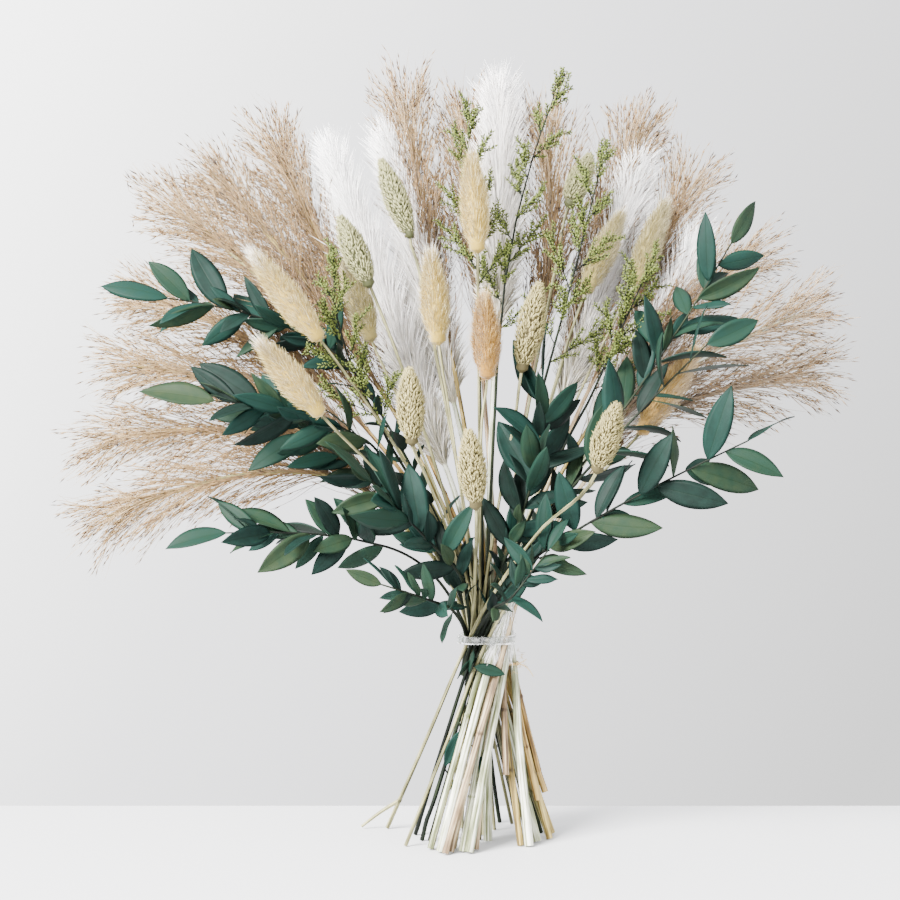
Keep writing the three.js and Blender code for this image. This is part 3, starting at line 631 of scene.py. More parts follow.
# Bunny-tail bristles: velvety, deep gold or olive between them and pale at their ends.
CREAM_DOWN = hair("cream_bunny_tail", DOWN_STOPS, ("#6a5418", "#957d2f", "#c8b678", "#ece4d4"), 0.3)
OLIVE_DOWN = hair("olive_bunny_tail", DOWN_STOPS, ("#5a4f29", "#80733f", "#ada273", "#d8d0b8"), 0.3)
PEACH_DOWN = hair("peach_bunny_tail", DOWN_STOPS, ("#54370a", "#7b5710", "#a68238", "#d8c08e"), 0.3)
GOLD_DOWN = hair("gold_bunny_tail", DOWN_STOPS, ("#553f18", "#836730", "#b0955a", "#dccb98"), 0.3)
# Canary-grass scales: papery, pale at the tip, with green or straw between them.
GREEN_SCALES = scaly("green_canary_scales", "#23280f", "#8a8860")
CREAM_SCALES = scaly("cream_canary_scales", "#2e2710", "#93895a")
# Sea-lavender bracts: small yellow-green crumbs whose bases go nearly black, painted shade that darkens the
# gaps between them.
BRACTS = scaly("sea_lavender_bracts", "#0b1205", "#596428")
# Preserved ruscus leaves: deep blue green, satin, with a pale midrib and a greyer underside.
RUSCUS_LEAF = leaf_finish("preserved_ruscus_leaf", LEAF_STOPS, LEAF_TONES, "#131c15")
# Raffia: dull golden straw with rough fibres.
RAFFIA = dry_stem("raffia", ("#5d4420", "#8d6f3c", "#bfa777"))
# Clear film: shows the stems through it and catches light along its wrinkles.
FILM = clear_film()

# ---- Small shapes that are scattered ------------------------------------------------------------

SHAPES = []  # the small shapes, which are removed at the end


def shape_object(name, points, faces):
    """A small shape to be copied, a millimetre long at size 1."""
    made = new_object(name, points, faces=faces)
    set_attribute(made, "along", "FLOAT", [p[2] for p in points])
    SHAPES.append(made)
    return made


def spindle(name, height, across_x, across_y, sides=4):
    """A closed pointed body along z; its widest ring has a height and a radius each way."""
    turns = [ROUND * j / sides for j in range(sides)]
    ring = [(across_x * math.cos(turn), across_y * math.sin(turn), height) for turn in turns]
    steps = [(1 + j, 1 + (j + 1) % sides) for j in range(sides)]
    faces = [(0, b, a) for a, b in steps] + [(a, b, sides + 1) for a, b in steps]
    return shape_object(name, [(0, 0, 0), *ring, (0, 0, 1)], faces)


SPIKELET = spindle("spikelet", 0.4, 0.08, 0.06)
GLUME = spindle("glume", 0.35, 0.17, 0.1)
BRACT = spindle("bract", 0.45, 0.24, 0.18)

# ---- Plumes -------------------------------------------------------------------------------------

UNDERCOAT = 600  # further hairs that fill out the lower half of a pampas plume
LOW_THREADS = 56  # threads that leave a reed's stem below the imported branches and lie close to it
WOOL = 380  # hairs of white wool on a pampas stem
WOOL_HEIGHTS = (101, 134)  # where that wool is, round the height of the band
PAMPAS_ROOM = 8.0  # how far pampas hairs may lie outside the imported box


class Plume:
    """A packed plume: its stem and core line, its box, and every branch's root, reach and directions."""

    def __init__(self, node):
        solid = Solid(node)
        peaks = solid.peaks()
        rings = solid.rings(solid.foot, peaks)
        self.middles, self.girths = solid.tube(rings)
        ring_of = {i: k for k, ring in enumerate(rings) for i in ring}
        branches = []
        for tip, corners in peaks.items():
            row = min(ring_of[i] for i in corners)
            branches.append((row, solid.middle(corners), solid.points[tip]))
        branches.sort(key=lambda b: (b[0], b[1].tolist()))
        self.rows = np.array([row for row, _, _ in branches])
        self.first = self.rows[0]
        low, high = self.middles[self.rows], self.middles[self.rows + 1]
        self.root = (low + high) / 2
        self.axis = unit(high - low)
        self.step = np.linalg.norm(high - low, axis=1)
        self.reach = np.array([tip for _, _, tip in branches]) - self.root
        self.out = square_to(self.axis, self.reach)
        self.box = solid.points.min(0), solid.points.max(0)


def kept_close(points, box, room=3.0):
    """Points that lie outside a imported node's box come back to just outside it, the farther the more."""
    low, high = box
    over = room * np.tanh(np.maximum(points - high, 0) / room)
    under = room * np.tanh(np.maximum(low - points, 0) / room)
    return np.clip(points, low, high) + over - under


def leave_points(lines, each, part, random):
    """Places on some lines where smaller threads leave them, with the line's share and direction there."""
    pick = np.repeat(np.arange(len(lines)), each)
    last = lines.shape[1] - 1
    leave = random.uniform(*part, len(pick))
    k = np.minimum((leave * last).astype(int), last - 1)
    reach = lines[pick, k + 1] - lines[pick, k]
    return pick, leave, lines[pick, k] + reach * (leave * last - k)[:, None], unit(reach)


def stem_batch(points, girths, random, per=7.0, joints=()):
    """A stem as one smooth thread that wanders a little in thickness, with dark joints at some heights."""
    line = Line(points, girths)
    share = np.linspace(0, 1, max(8, int(line.length / per)))
    middles = [line.share_at(height) for height in joints]
    for middle in middles:
        share = np.append(share, middle + np.array([-1.6, -0.8, -0.3, 0.3, 0.8, 1.6]) / line.length)
    share = np.sort(share)
    rise = line.along(0.01)[2]
    if points[0][2] < 0.5:  # a leaning cut end starts a little higher, so that its rim is not underground
        share[0] = girths[0] * math.sqrt(1 - rise * rise) / rise / line.length
        share[1:] = np.maximum(share[1:], share[0] + 0.4 / line.length)
        share = share[np.concatenate([[True], np.diff(share) > 1e-6])]
    girth = line.value(share) * (1 + random.normal(0, 0.02, len(share)))
    girth[0] = girths[0] * 0.98
    tone = np.clip(np.interp(share, [0, 0.4, 1], random.uniform(0.1, 0.9, 3)), 0, 1)
    for middle in middles:
        close = np.exp(-(((share - middle) * line.length / 0.8) ** 2))
        girth = girth * (1 + 0.2 * close)
        tone = tone - 0.9 * close
    return line.place(share)[None], girth[None], tone[None]


def reed_mains(plume, thick, random):
    """The main threads of a reed panicle, and how far each reaches along the stem.

    Every packed branch stands for a number of threads, given as thick.
    """
    ahead = np.linalg.norm(plume.middles[-1] - plume.root, axis=1)
    along = np.clip((plume.reach * plume.axis).sum(1), np.minimum(46, ahead + 8), ahead + 15)
    wide = np.maximum((plume.reach * plume.out).sum(1), 17)
    pick = np.repeat(np.arange(len(plume.rows)), thick)
    count = len(pick)
    axis = plume.axis[pick]
    start = plume.root[pick] + axis * (plume.step[pick] * random.uniform(-0.6, 0.6, count))[:, None]
    along = along[pick] * random.uniform(0.6, 1.04, count)
    wide = wide[pick] * random.uniform(0.04, 1.0, count) ** 0.6 * 1.15

    core = Line(plume.middles)
    low = core.at[plume.first] / core.length - random.uniform(0, 50, LOW_THREADS) / core.length
    start = np.concatenate([start, core.place(low)])
    axis = np.concatenate([axis, core.along(low)])
    out = np.concatenate([plume.out[pick], square_to(core.along(low), DOWN)])
    along = np.concatenate([along, random.uniform(45, 80, LOW_THREADS)])
    wide = np.concatenate([wide, random.uniform(2, 13, LOW_THREADS)])
    turns = [random.uniform(-0.62, 0.62, count), random.uniform(0, ROUND, LOW_THREADS)]
    out = turned(out, axis, np.concatenate(turns))
    sag = along * np.hypot(axis[:, 0], axis[:, 1]) * random.uniform(0.0, 0.16, len(start))

    def reach(far, off, fall):
        level = start + axis * (along * far)[:, None] + out * (wide * off)[:, None]
        return level + DOWN * (sag * fall)[:, None]

    mains = bowed(start, reach(0.4, 0.25, -0.2), reach(0.72, 0.9, 0.1), reach(1, 1.05, 1), 8)
    mains = mains + random.normal(0, 0.1, mains.shape) * np.linspace(0, 1, 8)[None, :, None]
    return kept_close(mains, plume.box), along


def reed_forks(mains, along, box, random):
    """Two drooping forks on every main thread, and the places where they leave it."""
    pick, leave, root, way = leave_points(mains, 2, (0.3, 0.85), random)
    off = square_to(way, random.normal(0, 1, way.shape))
    size = along[pick] * (1 - leave) * random.uniform(0.65, 1.1, len(pick)) + 7
    spread = random.uniform(0.06, 0.26, len(pick))
    end = root + way * (size * np.cos(spread))[:, None] + off * (size * np.sin(spread))[:, None]
    end = end + DOWN * (0.1 * size * np.hypot(way[:, 0], way[:, 1]))[:, None]
    bend = (root + end) / 2 + (off + way) * (0.1 * size)[:, None]
    return kept_close(bowed(root, root + (bend - root) * 0.7, bend, end, 5), box), root


def reed_silk(mains, box, random):
    """Four short fine hairs on every main thread, and the places where they leave it."""
    _, _, root, way = leave_points(mains, 4, (0.0, 0.92), random)
    off = square_to(way, random.normal(0, 1, way.shape))
    end = root + unit(way + 0.3 * off) * random.uniform(9, 24, (len(root), 1))
    return kept_close(bowed(root, root + way * 2, (root + end) / 2 + way, end, 3), box), root


def spikelet_places(mains, forks, random):
    """Places on the outer part of the threads where spikelets sit, with their directions and sides."""
    spots, aims, sides = [], [], []
    for lines, lanes, low in ((mains, 4, 0.62), (forks, 1, 0.5)):
        row, last = np.arange(len(lines)), lines.shape[1] - 1
        for lane in range(lanes):
            s = low + (1 - low) * (lane + random.uniform(0.2, 1, len(lines))) / lanes
            s = np.minimum(s, 0.995) * last
            k = s.astype(int)
            reach = lines[row, k + 1] - lines[row, k]
            way = unit(reach)
            off = turned(square_to(way, DOWN), way, np.pi * lane + random.normal(0, 0.6, len(lines)))
            spots.append(lines[row, k] + reach * (s - k)[:, None])
            aims.append(unit(way + off * random.uniform(0.08, 0.26, (len(lines), 1))))
            sides.append(np.cross(way, off))
    return [np.concatenate(some) for some in (spots, aims, sides)]


def make_reed(node, seed, culm, thick):
    """A reed panicle: fine threads that stream along the stem, fork, droop and end in spikelets."""
    random = np.random.default_rng(seed)
    plume = Plume(node)
    plume.girths[-1] = 0.3
    joints = random.uniform([20, 150], [80, 190])
    stem = sweep(node, [stem_batch(plume.middles, plume.girths, random, joints=joints)], 8, culm)
    mains, along = reed_mains(plume, thick, random)
    forks, fork_at = reed_forks(mains, along, plume.box, random)
    silk, silk_at = reed_silk(mains, plume.box, random)
    foot, top = plume.middles[plume.first], plume.middles[-1]

    # partly the threads' own colour and partly painted shade: the tone rises from the panicle's foot to its
    # top, so the dense inside low down is darker
    def tones(points, spread, shape):
        share = ((points - foot) * unit(top - foot)).sum(-1) / np.linalg.norm(top - foot)
        return 0.6 * np.clip(share, 0, 1) + random.uniform(0, spread, shape)

    batches = [
        (mains, np.linspace(0.3, 0.13, 8)[None], tones(mains, 0.4, (len(mains), 1))),
        (forks, np.linspace(0.19, 0.1, 5)[None], tones(fork_at, 0.4, len(forks))),
        (silk, np.array([0.12, 0.1, 0.04])[None], tones(silk_at, 0.3, len(silk))),
    ]
    threads = sweep(node, batches, 3, REED_THREADS)
    places = spikelet_places(mains, forks, random)
    number = len(places[0])
    long = random.uniform(3.8, 5.8, number)
    plump = random.uniform(4.0, 6.0, number)
    sizes = np.stack([plump, plump, long], 1)
    seeds = scatter(node, SPIKELET, *places, sizes, random.uniform(0, 1, number), REED_SPIKELETS)
    finish_piece(node, [stem, threads, seeds])


def sheath_hairs(line, random):
    """White wool left on the stem where the leaf was stripped off, round the height of the band."""
    share = line.share_at(random.uniform(*WOOL_HEIGHTS, WOOL))
    way = line.along(share)
    out = turned(square_to(way, SIDEWAYS), way, random.uniform(0, ROUND, WOOL))
    start = line.place(share) + out * 2.0
    end = start - way * random.uniform(3, 9, (WOOL, 1)) + out * random.uniform(0.2, 2.6, (WOOL, 1))
    bend = (start + end) / 2 + out * random.uniform(0.2, 0.9, (WOOL, 1))
    return bowed(start, bend, bend, end, 4), np.array([0.1, 0.1, 0.08, 0.03])[None], np.full(WOOL, 0.95)


def pampas_hairs(plume, light, random):
    """Silky hairs that leave the core at an acute angle and curve outwards, and the undercoat."""
    share = (plume.rows - plume.first) / (plume.rows.max() - plume.first)
    reach = np.linalg.norm(plume.reach, axis=1)
    angle = np.arctan2((plume.reach * plume.out).sum(1), (plume.reach * plume.axis).sum(1))
    size = np.maximum(reach, 44 * np.sin(np.pi * (0.22 + 0.62 * share)))
    each = (50 + 60 * fading(share, 0.5)).astype(int)  # more hairs low down
    rows = (plume.root, plume.axis, plume.out, plume.step, share, size, np.clip(angle, 0.45, 0.62))
    core, axis, out, step, share, size, angle = (np.repeat(values, each, 0) for values in rows)
    count = len(core)
    out = turned(out, axis, random.uniform(-0.75, 0.75, count))
    start = core + axis * (step * random.uniform(-0.8, 0.8, count))[:, None] + out * 0.8
    size = size * random.triangular(0.3, 0.85, 1.1, count)
    angle = angle * random.uniform(0.1, 1.2, count)
    end = start + axis * (size * np.cos(angle))[:, None] + out * (size * np.sin(angle))[:, None]
    end = end + random.normal(0, 1.3, (count, 3))
    bend_a = start + axis * (0.3 * size)[:, None] + out * (0.10 * size)[:, None]
    bend_b = (start + end) / 2 + axis * (0.2 * size)[:, None] + random.normal(0, 0.9, (count, 3))
    hairs = kept_close(bowed(start, bend_a, bend_b, end, 4), plume.box, PAMPAS_ROOM)
    low = fading(share, 0.55)[:, None]
    girth = np.array([0.25, 0.3, 0.22, 0.05]) * (1 + 0.7 * low)
    # painted shade: the tone rises up the plume and along each hair from root to tip, so low, deep hairs are
    # darker; light dims a whole plume that stands in shade
    tone = (0.16 + 0.69 * share[:, None]) * light + np.array([-0.05, 0.05, 0.15, 0.25])
    tone = np.clip(np.clip(tone, 0, 1) + random.uniform(-0.15, 0.15, (count, 1)), 0, 1)

    pick = random.choice(np.flatnonzero(share < 0.5), UNDERCOAT)
    spin = random.uniform(0, ROUND, (UNDERCOAT, 1))
    middle = core[pick][:, None]
    ends = [0, 2, 3]  # these points of a hair are enough for the undercoat
    under = middle + turned(hairs[pick][:, ends] - middle, axis[pick][:, None], spin)
    under = kept_close(under, plume.box, PAMPAS_ROOM)
    pale = np.clip(tone[pick][:, ends] + 0.08, 0, 1)
    return [(hairs, girth, tone), (under, girth[pick][:, ends] * 0.9, pale)]


def make_pampas(node, seed, light, sheath=False):
    """A pampas plume: a bare pale stem under thousands of silky hairs."""
    random = np.random.default_rng(seed)
    plume = Plume(node)
    in_plume = np.arange(len(plume.girths)) > plume.first
    girths = np.where(in_plume, np.minimum(plume.girths, 1.4), plume.girths)
    girths[-1] = 0.4
    stem = sweep(node, [stem_batch(plume.middles, girths, random)], 10, PALE_CULM)
    batches = pampas_hairs(plume, light, random)
    if sheath:
        batches.append(sheath_hairs(Line(plume.middles), random))
    finish_piece(node, [stem, sweep(node, batches, 3, PAMPAS_HAIRS)])


# ---- Dense heads --------------------------------------------------------------------------------

BRISTLES = 3700  # on a bunny tail
AWNS = 240  # longer, paler hairs among them
GLUMES = 1500  # scales on a canary head
GOLDEN_ANGLE = 2.39996  # the turn from one scale to the next in a spiral
SIDE_SHOOTS = {"canary_grass_6": [(17.0, (-70.0, 31.0, 1.3))]}  # height on the stem, and the cut end


def read_head(node):
    """The line and radius of a dense head, and its bare stem with the line run on into the head."""
    solid = Solid(node)
    peaks = solid.peaks()
    middles, radii = solid.tube(solid.bloom(peaks))
    stem, girths = solid.tube(solid.rings(solid.foot, peaks))
    stem = stem[stem[:, 2] < middles[0][2] - 4]
    girths = np.append(girths[: len(stem)], [girths[len(stem) - 1]] * 2)
    return Line(middles, radii), np.concatenate([stem, middles[:2]]), girths


def on_head(head, share, angle, radius_share):
    """Points on an oval head, with the directions along it and out of it there."""
    along = head.along(share)
    out = turned(square_to(along, SIDEWAYS), along, angle)
    radius = head.value(share) * radius_share
    return head.place(share) + out * radius[:, None], along, out


def head_core(node, head, share_of_radius, material):
    """The body under the bristles or scales, round at its foot."""
    share = np.linspace(0, 1, 14)
    radius = np.maximum(head.value(share) * share_of_radius, 0.3)
    widest = radius.max()
    radius[0] = 0.64 * widest
    foot = head.place(0.0) - head.along(0.0) * np.array([[2.3], [1.7], [0.8]])
    place = np.concatenate([foot, head.place(share)])
    radius = np.concatenate([widest * np.array([0.1, 0.26, 0.46]), radius])
    return sweep(node, [(place[None], radius[None], np.array([0.45]))], 14, material)


def make_bunny_tail(node, seed, down, tuft):
    """A bunny tail: an oval head hidden under soft bristles and awns, with a silky tuft at its tip."""
    random = np.random.default_rng(seed)
    head, stem, girths = read_head(node)
    culm = sweep(node, [stem_batch(stem, girths, random)], 8, GREEN_CULM)
    core = head_core(node, head, 0.84, down)
    share = random.uniform(0, 0.98, BRISTLES) ** 0.95
    low = fading(share, 0.12)[:, None]
    start, along, out = on_head(head, share, random.uniform(0, ROUND, BRISTLES), 0.8)
    start = start - along * 1.5 * low - out * 2.2 * low
    long = random.uniform(2.4, 4.6, BRISTLES) * (0.9 + 0.2 * share)
    way = along * (1 - 1.1 * low) + out * random.uniform(0.2, 0.8, (BRISTLES, 1))
    way = unit(way + random.normal(0, 0.16, (BRISTLES, 3)))
    hairs = np.stack([start, start + way * long[:, None]], 1)
    tone = random.uniform(0.1, 0.65, BRISTLES)[:, None] + np.array([-0.1, 0.25])
    batches = [(hairs, np.array([0.17, 0.03])[None], np.clip(tone, 0, 0.9))]
    # the awns and the tuft: how many, the lowest share of the head, length, lean outwards and tone
    longer = [(AWNS, 0.02, (4.5, 8), (0.3, 0.8), 0.88), (tuft, 0.84, (6, 11), (0.02, 0.35), 1.2)]
    for count, lowest, size, lean, pale in longer:
        share = random.uniform(lowest, 0.99, count)
        start, along, out = on_head(head, share, random.uniform(0, ROUND, count), 0.75)
        way = unit(along + out * random.uniform(*lean, (count, 1)))
        end = start + way * random.uniform(*size, (count, 1))
        awns = bowed(start, start + way * 3, (start + end) / 2 + way, end, 4)
        batches.append((awns, np.array([0.09, 0.07, 0.05, 0.03])[None], np.full(count, pale)))
    finish_piece(node, [culm, core, sweep(node, batches, 3, down)])


def make_canary_head(node, seed, scales):
    """A canary grass head: overlapping papery scales in a tight spiral round a slim core."""
    random = np.random.default_rng(seed)
    head, stem, girths = read_head(node)
    shoots = SIDE_SHOOTS.get(node, [])
    batches = [stem_batch(stem, girths, random, joints=[height for height, _ in shoots])]
    for height, end in shoots:
        root, end = at_height(stem, height), np.array(end)
        bend = (root + end) / 2 + np.array([0, 0, 1.0])
        shoot = bowed_once(root, bend, bend, end, 8)
        batches.append((shoot[None], np.linspace(1.1, 0.8, 8)[None], np.array([0.8])))
    culm = sweep(node, batches, 8, GREEN_CULM)
    core = head_core(node, head, 0.7, scales)
    share = ((np.arange(GLUMES) + 0.5) / GLUMES) ** 0.94 * 0.97
    angle = np.arange(GLUMES) * GOLDEN_ANGLE + random.normal(0, 0.15, GLUMES)
    at, along, out = on_head(head, share, angle, 0.78)
    low = fading(share, 0.06)[:, None]
    at = at - along * 1.3 * low - out * 2.4 * low
    aim = along + out * random.uniform(0.35, 1.0, (GLUMES, 1))
    aim = unit(aim + random.normal(0, 0.16, (GLUMES, 3)))
    long = random.uniform(2.2, 3.6, GLUMES) * (0.85 + 0.2 * np.sin(np.pi * share))
    size = np.stack([long, long * 0.75, long], 1)
    tone = random.uniform(0, 1, GLUMES)
    glumes = scatter(node, GLUME, at, aim, np.cross(along, out), size, tone, scales)
    finish_piece(node, [culm, core, glumes])


# ---- Sea lavender -------------------------------------------------------------------------------

TUFT_OVER_CROWN = 1.1 / (1.1 - 0.78)  # a tuft's whole length over the length of its pointed crown
TWIG_POINTS = 7
FORKS = 8  # on every tuft's main twig
BRACT_STEP = 0.5  # from one bract to the next along a twig, about


def read_tufts(solid):
    """The root and tip of every tuft: its tip is a point over three corners."""
    tufts = []
    for i, near in enumerate(solid.joined):
        if len(near) != 3 or i in solid.foot:
            continue
        reach = solid.points[i] - solid.middle(near)
        if np.linalg.norm(reach) > 1.2:
            tip = solid.points[i]
            tufts.append((tip - reach * TUFT_OVER_CROWN, tip))
    tufts.sort(key=lambda t: t[0][2])
    return tufts


def tuft_twigs(root, tip, random):
    """The main twig of a tuft and its forks, and a direction square to the main one."""
    tip = root + (tip - root) * 1.12
    reach = np.linalg.norm(tip - root)
    way = (tip - root) / reach
    off = square_to(way, random.normal(0, 1, 3))
    bends = root + way * reach * 0.3 + off * 1.2, root + way * reach * 0.7 + off
    twigs = [bowed_once(root, *bends, tip, TWIG_POINTS)]
    for fork in range(FORKS):
        share = 0.12 + 0.1 * fork + random.uniform(0, 0.08)
        at = twigs[0][int(share * (TWIG_POINTS - 1))]
        aside = turned(off, way, 1.7 * fork + random.uniform(-0.4, 0.4))
        turn = unit(way + aside * random.uniform(0.45, 0.9))
        size = reach * random.uniform(0.25, 0.42)
        end = at + turn * size
        bends = at + turn * size * 0.4, (at + end) / 2 + way
        twigs.append(bowed_once(at, *bends, end + way * 1.2, TWIG_POINTS))
    return twigs, off


def bracts_on(twig, dense, first, off, random):
    """Bracts in a spiral along a twig from a share of it on: places, directions, sides and sizes."""
    line = Line(twig)
    number = max(5, int(line.length * dense / BRACT_STEP))
    share = np.linspace(first, 1, number)
    ways = line.along(np.minimum(share, 0.98))
    out = turned(square_to(ways, off), ways, np.arange(number) * 2.4 + random.uniform(0, 6))
    aims = unit(ways * 0.8 + out * random.uniform(0.5, 1.1, (number, 1)))
    long = random.uniform(1.5, 2.6, number)
    sizes = np.stack([long * 1.2, long * 1.2, long], 1)
    return line.place(share) + out * 0.15, aims, np.cross(ways, out), sizes


def make_sea_lavender(node, seed):
    """Sea lavender: a wiry forked stem whose twigs carry close rows of tiny green bracts."""
    random = np.random.default_rng(seed)
    solid = Solid(node)
    stem, girths = solid.tube(solid.rings(solid.foot, solid.peaks()))
    tufts = read_tufts(solid)
    roots = np.array([root for root, _ in tufts])
    keep = stem[:, 2] < roots[0][2] - 3
    line = np.concatenate([stem[keep], roots])
    girths = np.concatenate([girths[keep], np.linspace(0.7, 0.35, len(roots))])
    stem = sweep(node, [stem_batch(line, girths, random)], 6, DARK_CULM)
    twigs, bracts = [], []
    for root, tip in tufts:
        grown, off = tuft_twigs(root, tip, random)
        twigs += grown
        for k, twig in enumerate(grown):
            bracts.append(bracts_on(twig, *((0.92, 0.12) if k else (0.62, 0.42)), off, random))
    tone = random.uniform(0.2, 0.8, len(twigs))
    forks = sweep(node, [(np.array(twigs), np.linspace(0.32, 0.2, TWIG_POINTS)[None], tone)], 4, DARK_CULM)
    places = [np.concatenate(some) for some in zip(*bracts)]
    crumbs = scatter(node, BRACT, *places, random.uniform(0, 1, len(places[0])), BRACTS)
    finish_piece(node, [stem, forks, crumbs])


# ---- Ruscus -------------------------------------------------------------------------------------

LEAF_THICKNESS = 1.3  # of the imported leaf, between the middle points of its two faces
BLADE_THICKNESS = 0.24  # from the middle of a fine leaf to either face, at its midrib
LEAF_ROWS, LEAF_COLUMNS = 12, 6  # squares along and across a fine leaf
BAND_TOP = 112.0
SHOWN_ROUND_TAIL = 14.0  # leaves nearer than this to one bunny tail in the picture let it show
OPEN_SIDE = 30.0  # to the right of this the sprigs are more open, and most of all below OPEN_BELOW
OPEN_BELOW = 235
SAME_PLACE = 1.5  # points of a stem closer together than this count as one
LOW_LEAVES = {  # leaves under the band: height on the stem, the leaf's foot, direction, length and width
    "ruscus_07": [
        (95, (-7.5, -18.5, 96.5), (0.97, -0.15, -0.16), 18, 9),
        (104, (-8.0, -16.5, 105.0), (-0.35, -0.3, -0.9), 13, 8.5),
    ],
    "ruscus_06": [
        (66, (-14.5, -15.0, 62.0), (-0.2, -0.15, -0.97), 23, 9),
        (56, (-3.0, -16.0, 52.0), (0.3, -0.2, -0.93), 25, 9),
        (40, (-21.0, -4.0, 36.0), (0.1, -0.4, -0.9), 12, 5),
    ],
}


def read_leaves(solid):
    """Each leaf's root, direction, upper side, length and width, from the middle points of its faces."""
    leaves = []
    for i, near in enumerate(solid.joined):
        if len(near) < 7:
            continue
        beyond = set().union(*(solid.joined[j] for j in near)) - near
        for j in beyond:
            shared = near & solid.joined[j]
            gap = solid.points[i] - solid.points[j]
            if j <= i or len(shared) < 5 or abs(np.linalg.norm(gap) - LEAF_THICKNESS) > 0.04:
                continue
            middle = (solid.points[i] + solid.points[j]) / 2
            spread = solid.points[sorted(shared)] - middle
            tip = spread[np.argmax(np.linalg.norm(spread, axis=1))]
            face = unit(gap)
            if tip @ face > 0:
                face = -face
            half = tip - face * (tip @ face)
            way = unit(half)
            side = np.cross(way, face)
            length, width = 2 * np.linalg.norm(half), 2 * np.abs(spread @ side).max()
            leaves.append((middle - half, way, face, length, width))
    return leaves


def leaf_skin():
    """The faces of a leaf: its upper side, its under side, which shares the rims, and its two ends."""
    index = np.arange((LEAF_ROWS + 1) * (LEAF_COLUMNS + 1)).reshape(LEAF_ROWS + 1, LEAF_COLUMNS + 1)
    under = index.copy()
    inner = index[:, 1:-1]
    under[:, 1:-1] = index.size + np.arange(inner.size).reshape(inner.shape)
    faces = []
    for r in range(LEAF_ROWS):
        for c in range(LEAF_COLUMNS):
            faces.append((index[r, c], index[r, c + 1], index[r + 1, c + 1], index[r + 1, c]))
            faces.append((under[r, c], under[r + 1, c], under[r + 1, c + 1], under[r, c + 1]))
    first, last = (list(index[r]) + list(under[r, 1:-1][::-1]) for r in (0, LEAF_ROWS))
    return faces + [tuple(first[::-1]), tuple(last)]


LEAF_SKIN = leaf_skin()


def leaf_blade(root, way, face, length, width, random, loose=1.0):
    """One thin leaf: pointed, arched along its length, cupped across it, a little waved and twisted."""
    face = turned(face, way, random.normal(0, 0.5) * loose)
    side = np.cross(way, face)
    way = unit(way + side * random.normal(0, 0.22) - face * random.uniform(-0.1, 0.3))
    face = square_to(way, face)
    side = np.cross(way, face)
    width = width * random.uniform(0.7, 0.94)
    length = length * random.uniform(0.9, 1.1)
    t = np.linspace(0, 1, LEAF_ROWS + 1)[:, None]
    u = np.linspace(-1, 1, LEAF_COLUMNS + 1)[None]
    half = np.sin(np.pi * np.clip(t, 0.001, 0.999) ** 0.92) ** 0.72
    half = half * (1 - 0.3 * np.clip((t - 0.78) / 0.22, 0, 1) ** 2)
    half = np.maximum(half * np.clip(t / 0.09, 0.05, 1), 0.03) * width / 2
    half = np.maximum(half, 0.12)
    twist = random.uniform(-0.5, 0.5) * t
    cup = random.uniform(-0.1, 0.22)
    wave = random.uniform(0, 0.5) * np.sin(t * random.uniform(7, 11) + random.uniform(0, 6)) * u**3
    lift = -0.3 * length * ((t - 0.5) ** 2 - 0.25 * (1 - t) ** 3)
    lift = lift + cup * half * u**2 * 2 + wave - 0.5 * np.exp(-((u / 0.12) ** 2)) * 0.35
    swing = random.uniform(-0.06, 0.06) * length * t**2
    across = u * half * np.cos(twist) + swing
    up = lift + u * half * np.sin(twist)
    middle = root + way * (t * length)[..., None]
    grid = middle + side * across[..., None] + face * up[..., None]
    thick = face * (BLADE_THICKNESS * np.sqrt(np.clip(1 - u**2, 0, 1)) * np.ones_like(t))[..., None]
    points = [(grid + thick).reshape(-1, 3), (grid - thick)[:, 1:-1].reshape(-1, 3)]
    blade = np.stack([u * np.ones_like(t), t * np.ones_like(u), np.ones_like(t * u)], -1)
    blades = [blade.reshape(-1, 3), (blade * [1, 1, -1])[:, 1:-1].reshape(-1, 3)]
    return np.concatenate(points), np.concatenate(blades)


def more_leaves(high, random):
    """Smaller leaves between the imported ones, on the other side of the stem; few on the open right side."""
    added = []
    for one, other in zip(high[:-2], high[1:]):
        root, way, face, length, width = one
        stem_way = unit(other[0] - root)
        if root[0] > OPEN_SIDE and random.uniform() > (0.2 if root[2] < OPEN_BELOW else 0.65):
            continue
        for turn, low, top in ((np.pi, 0.7, 0.95), (random.choice([-1.7, 1.7]), 0.5, 0.85)):
            side_way = turned(way, stem_way, turn + random.uniform(-0.6, 0.6)) + 0.25 * stem_way
            size = random.uniform(low, top)
            middle = root + (other[0] - root) * random.uniform(0.2, 0.8)
            aim = unit(side_way)
            added.append((middle, aim, square_to(aim, face), length * size, width * size))
    return added


def first_leaves(stem, random):
    """Small leaves on the stretch between the band and the lowest packed leaf."""
    added = []
    climb = Line(stem)
    share = 4 / climb.length
    turn = random.uniform(0, ROUND)
    while share < 1:
        way = climb.along(share)
        turn += 2.4
        out = turned(square_to(way, np.array([0.0, -1.0, 0.0])), way, turn)
        length = random.uniform(15, 25)
        tip_way = unit(way + out * random.uniform(0.5, 1.0))
        added.append((climb.place(share), tip_way, square_to(tip_way, way - out), length, length * 0.46))
        share += random.uniform(5, 9) / climb.length
    return added


def as_seen(points):
    """Where the camera sees points, in millimetres on the plane through the middle of the bouquet."""
    way = points - np.array(CAMERA_AT)
    return way[..., ::2] * -CAMERA_AT[1] / way[..., 1:2]


def before_tail(leaf, tail):
    """True where a leaf lies in front of a bunny tail, as the camera sees them, and would hide it."""
    middle = leaf[0] + leaf[1] * leaf[3] / 2
    gap = as_seen(tail) - as_seen(middle)
    return middle[1] < tail[:, 1].max() and np.linalg.norm(gap, axis=1).min() < SHOWN_ROUND_TAIL


def thinned(points):
    """Points of a stem without those that lie too close to the one before."""
    kept = [points[0]]
    for point in points[1:]:
        if np.linalg.norm(point - kept[-1]) > SAME_PLACE:
            kept.append(point)
    return np.array(kept)


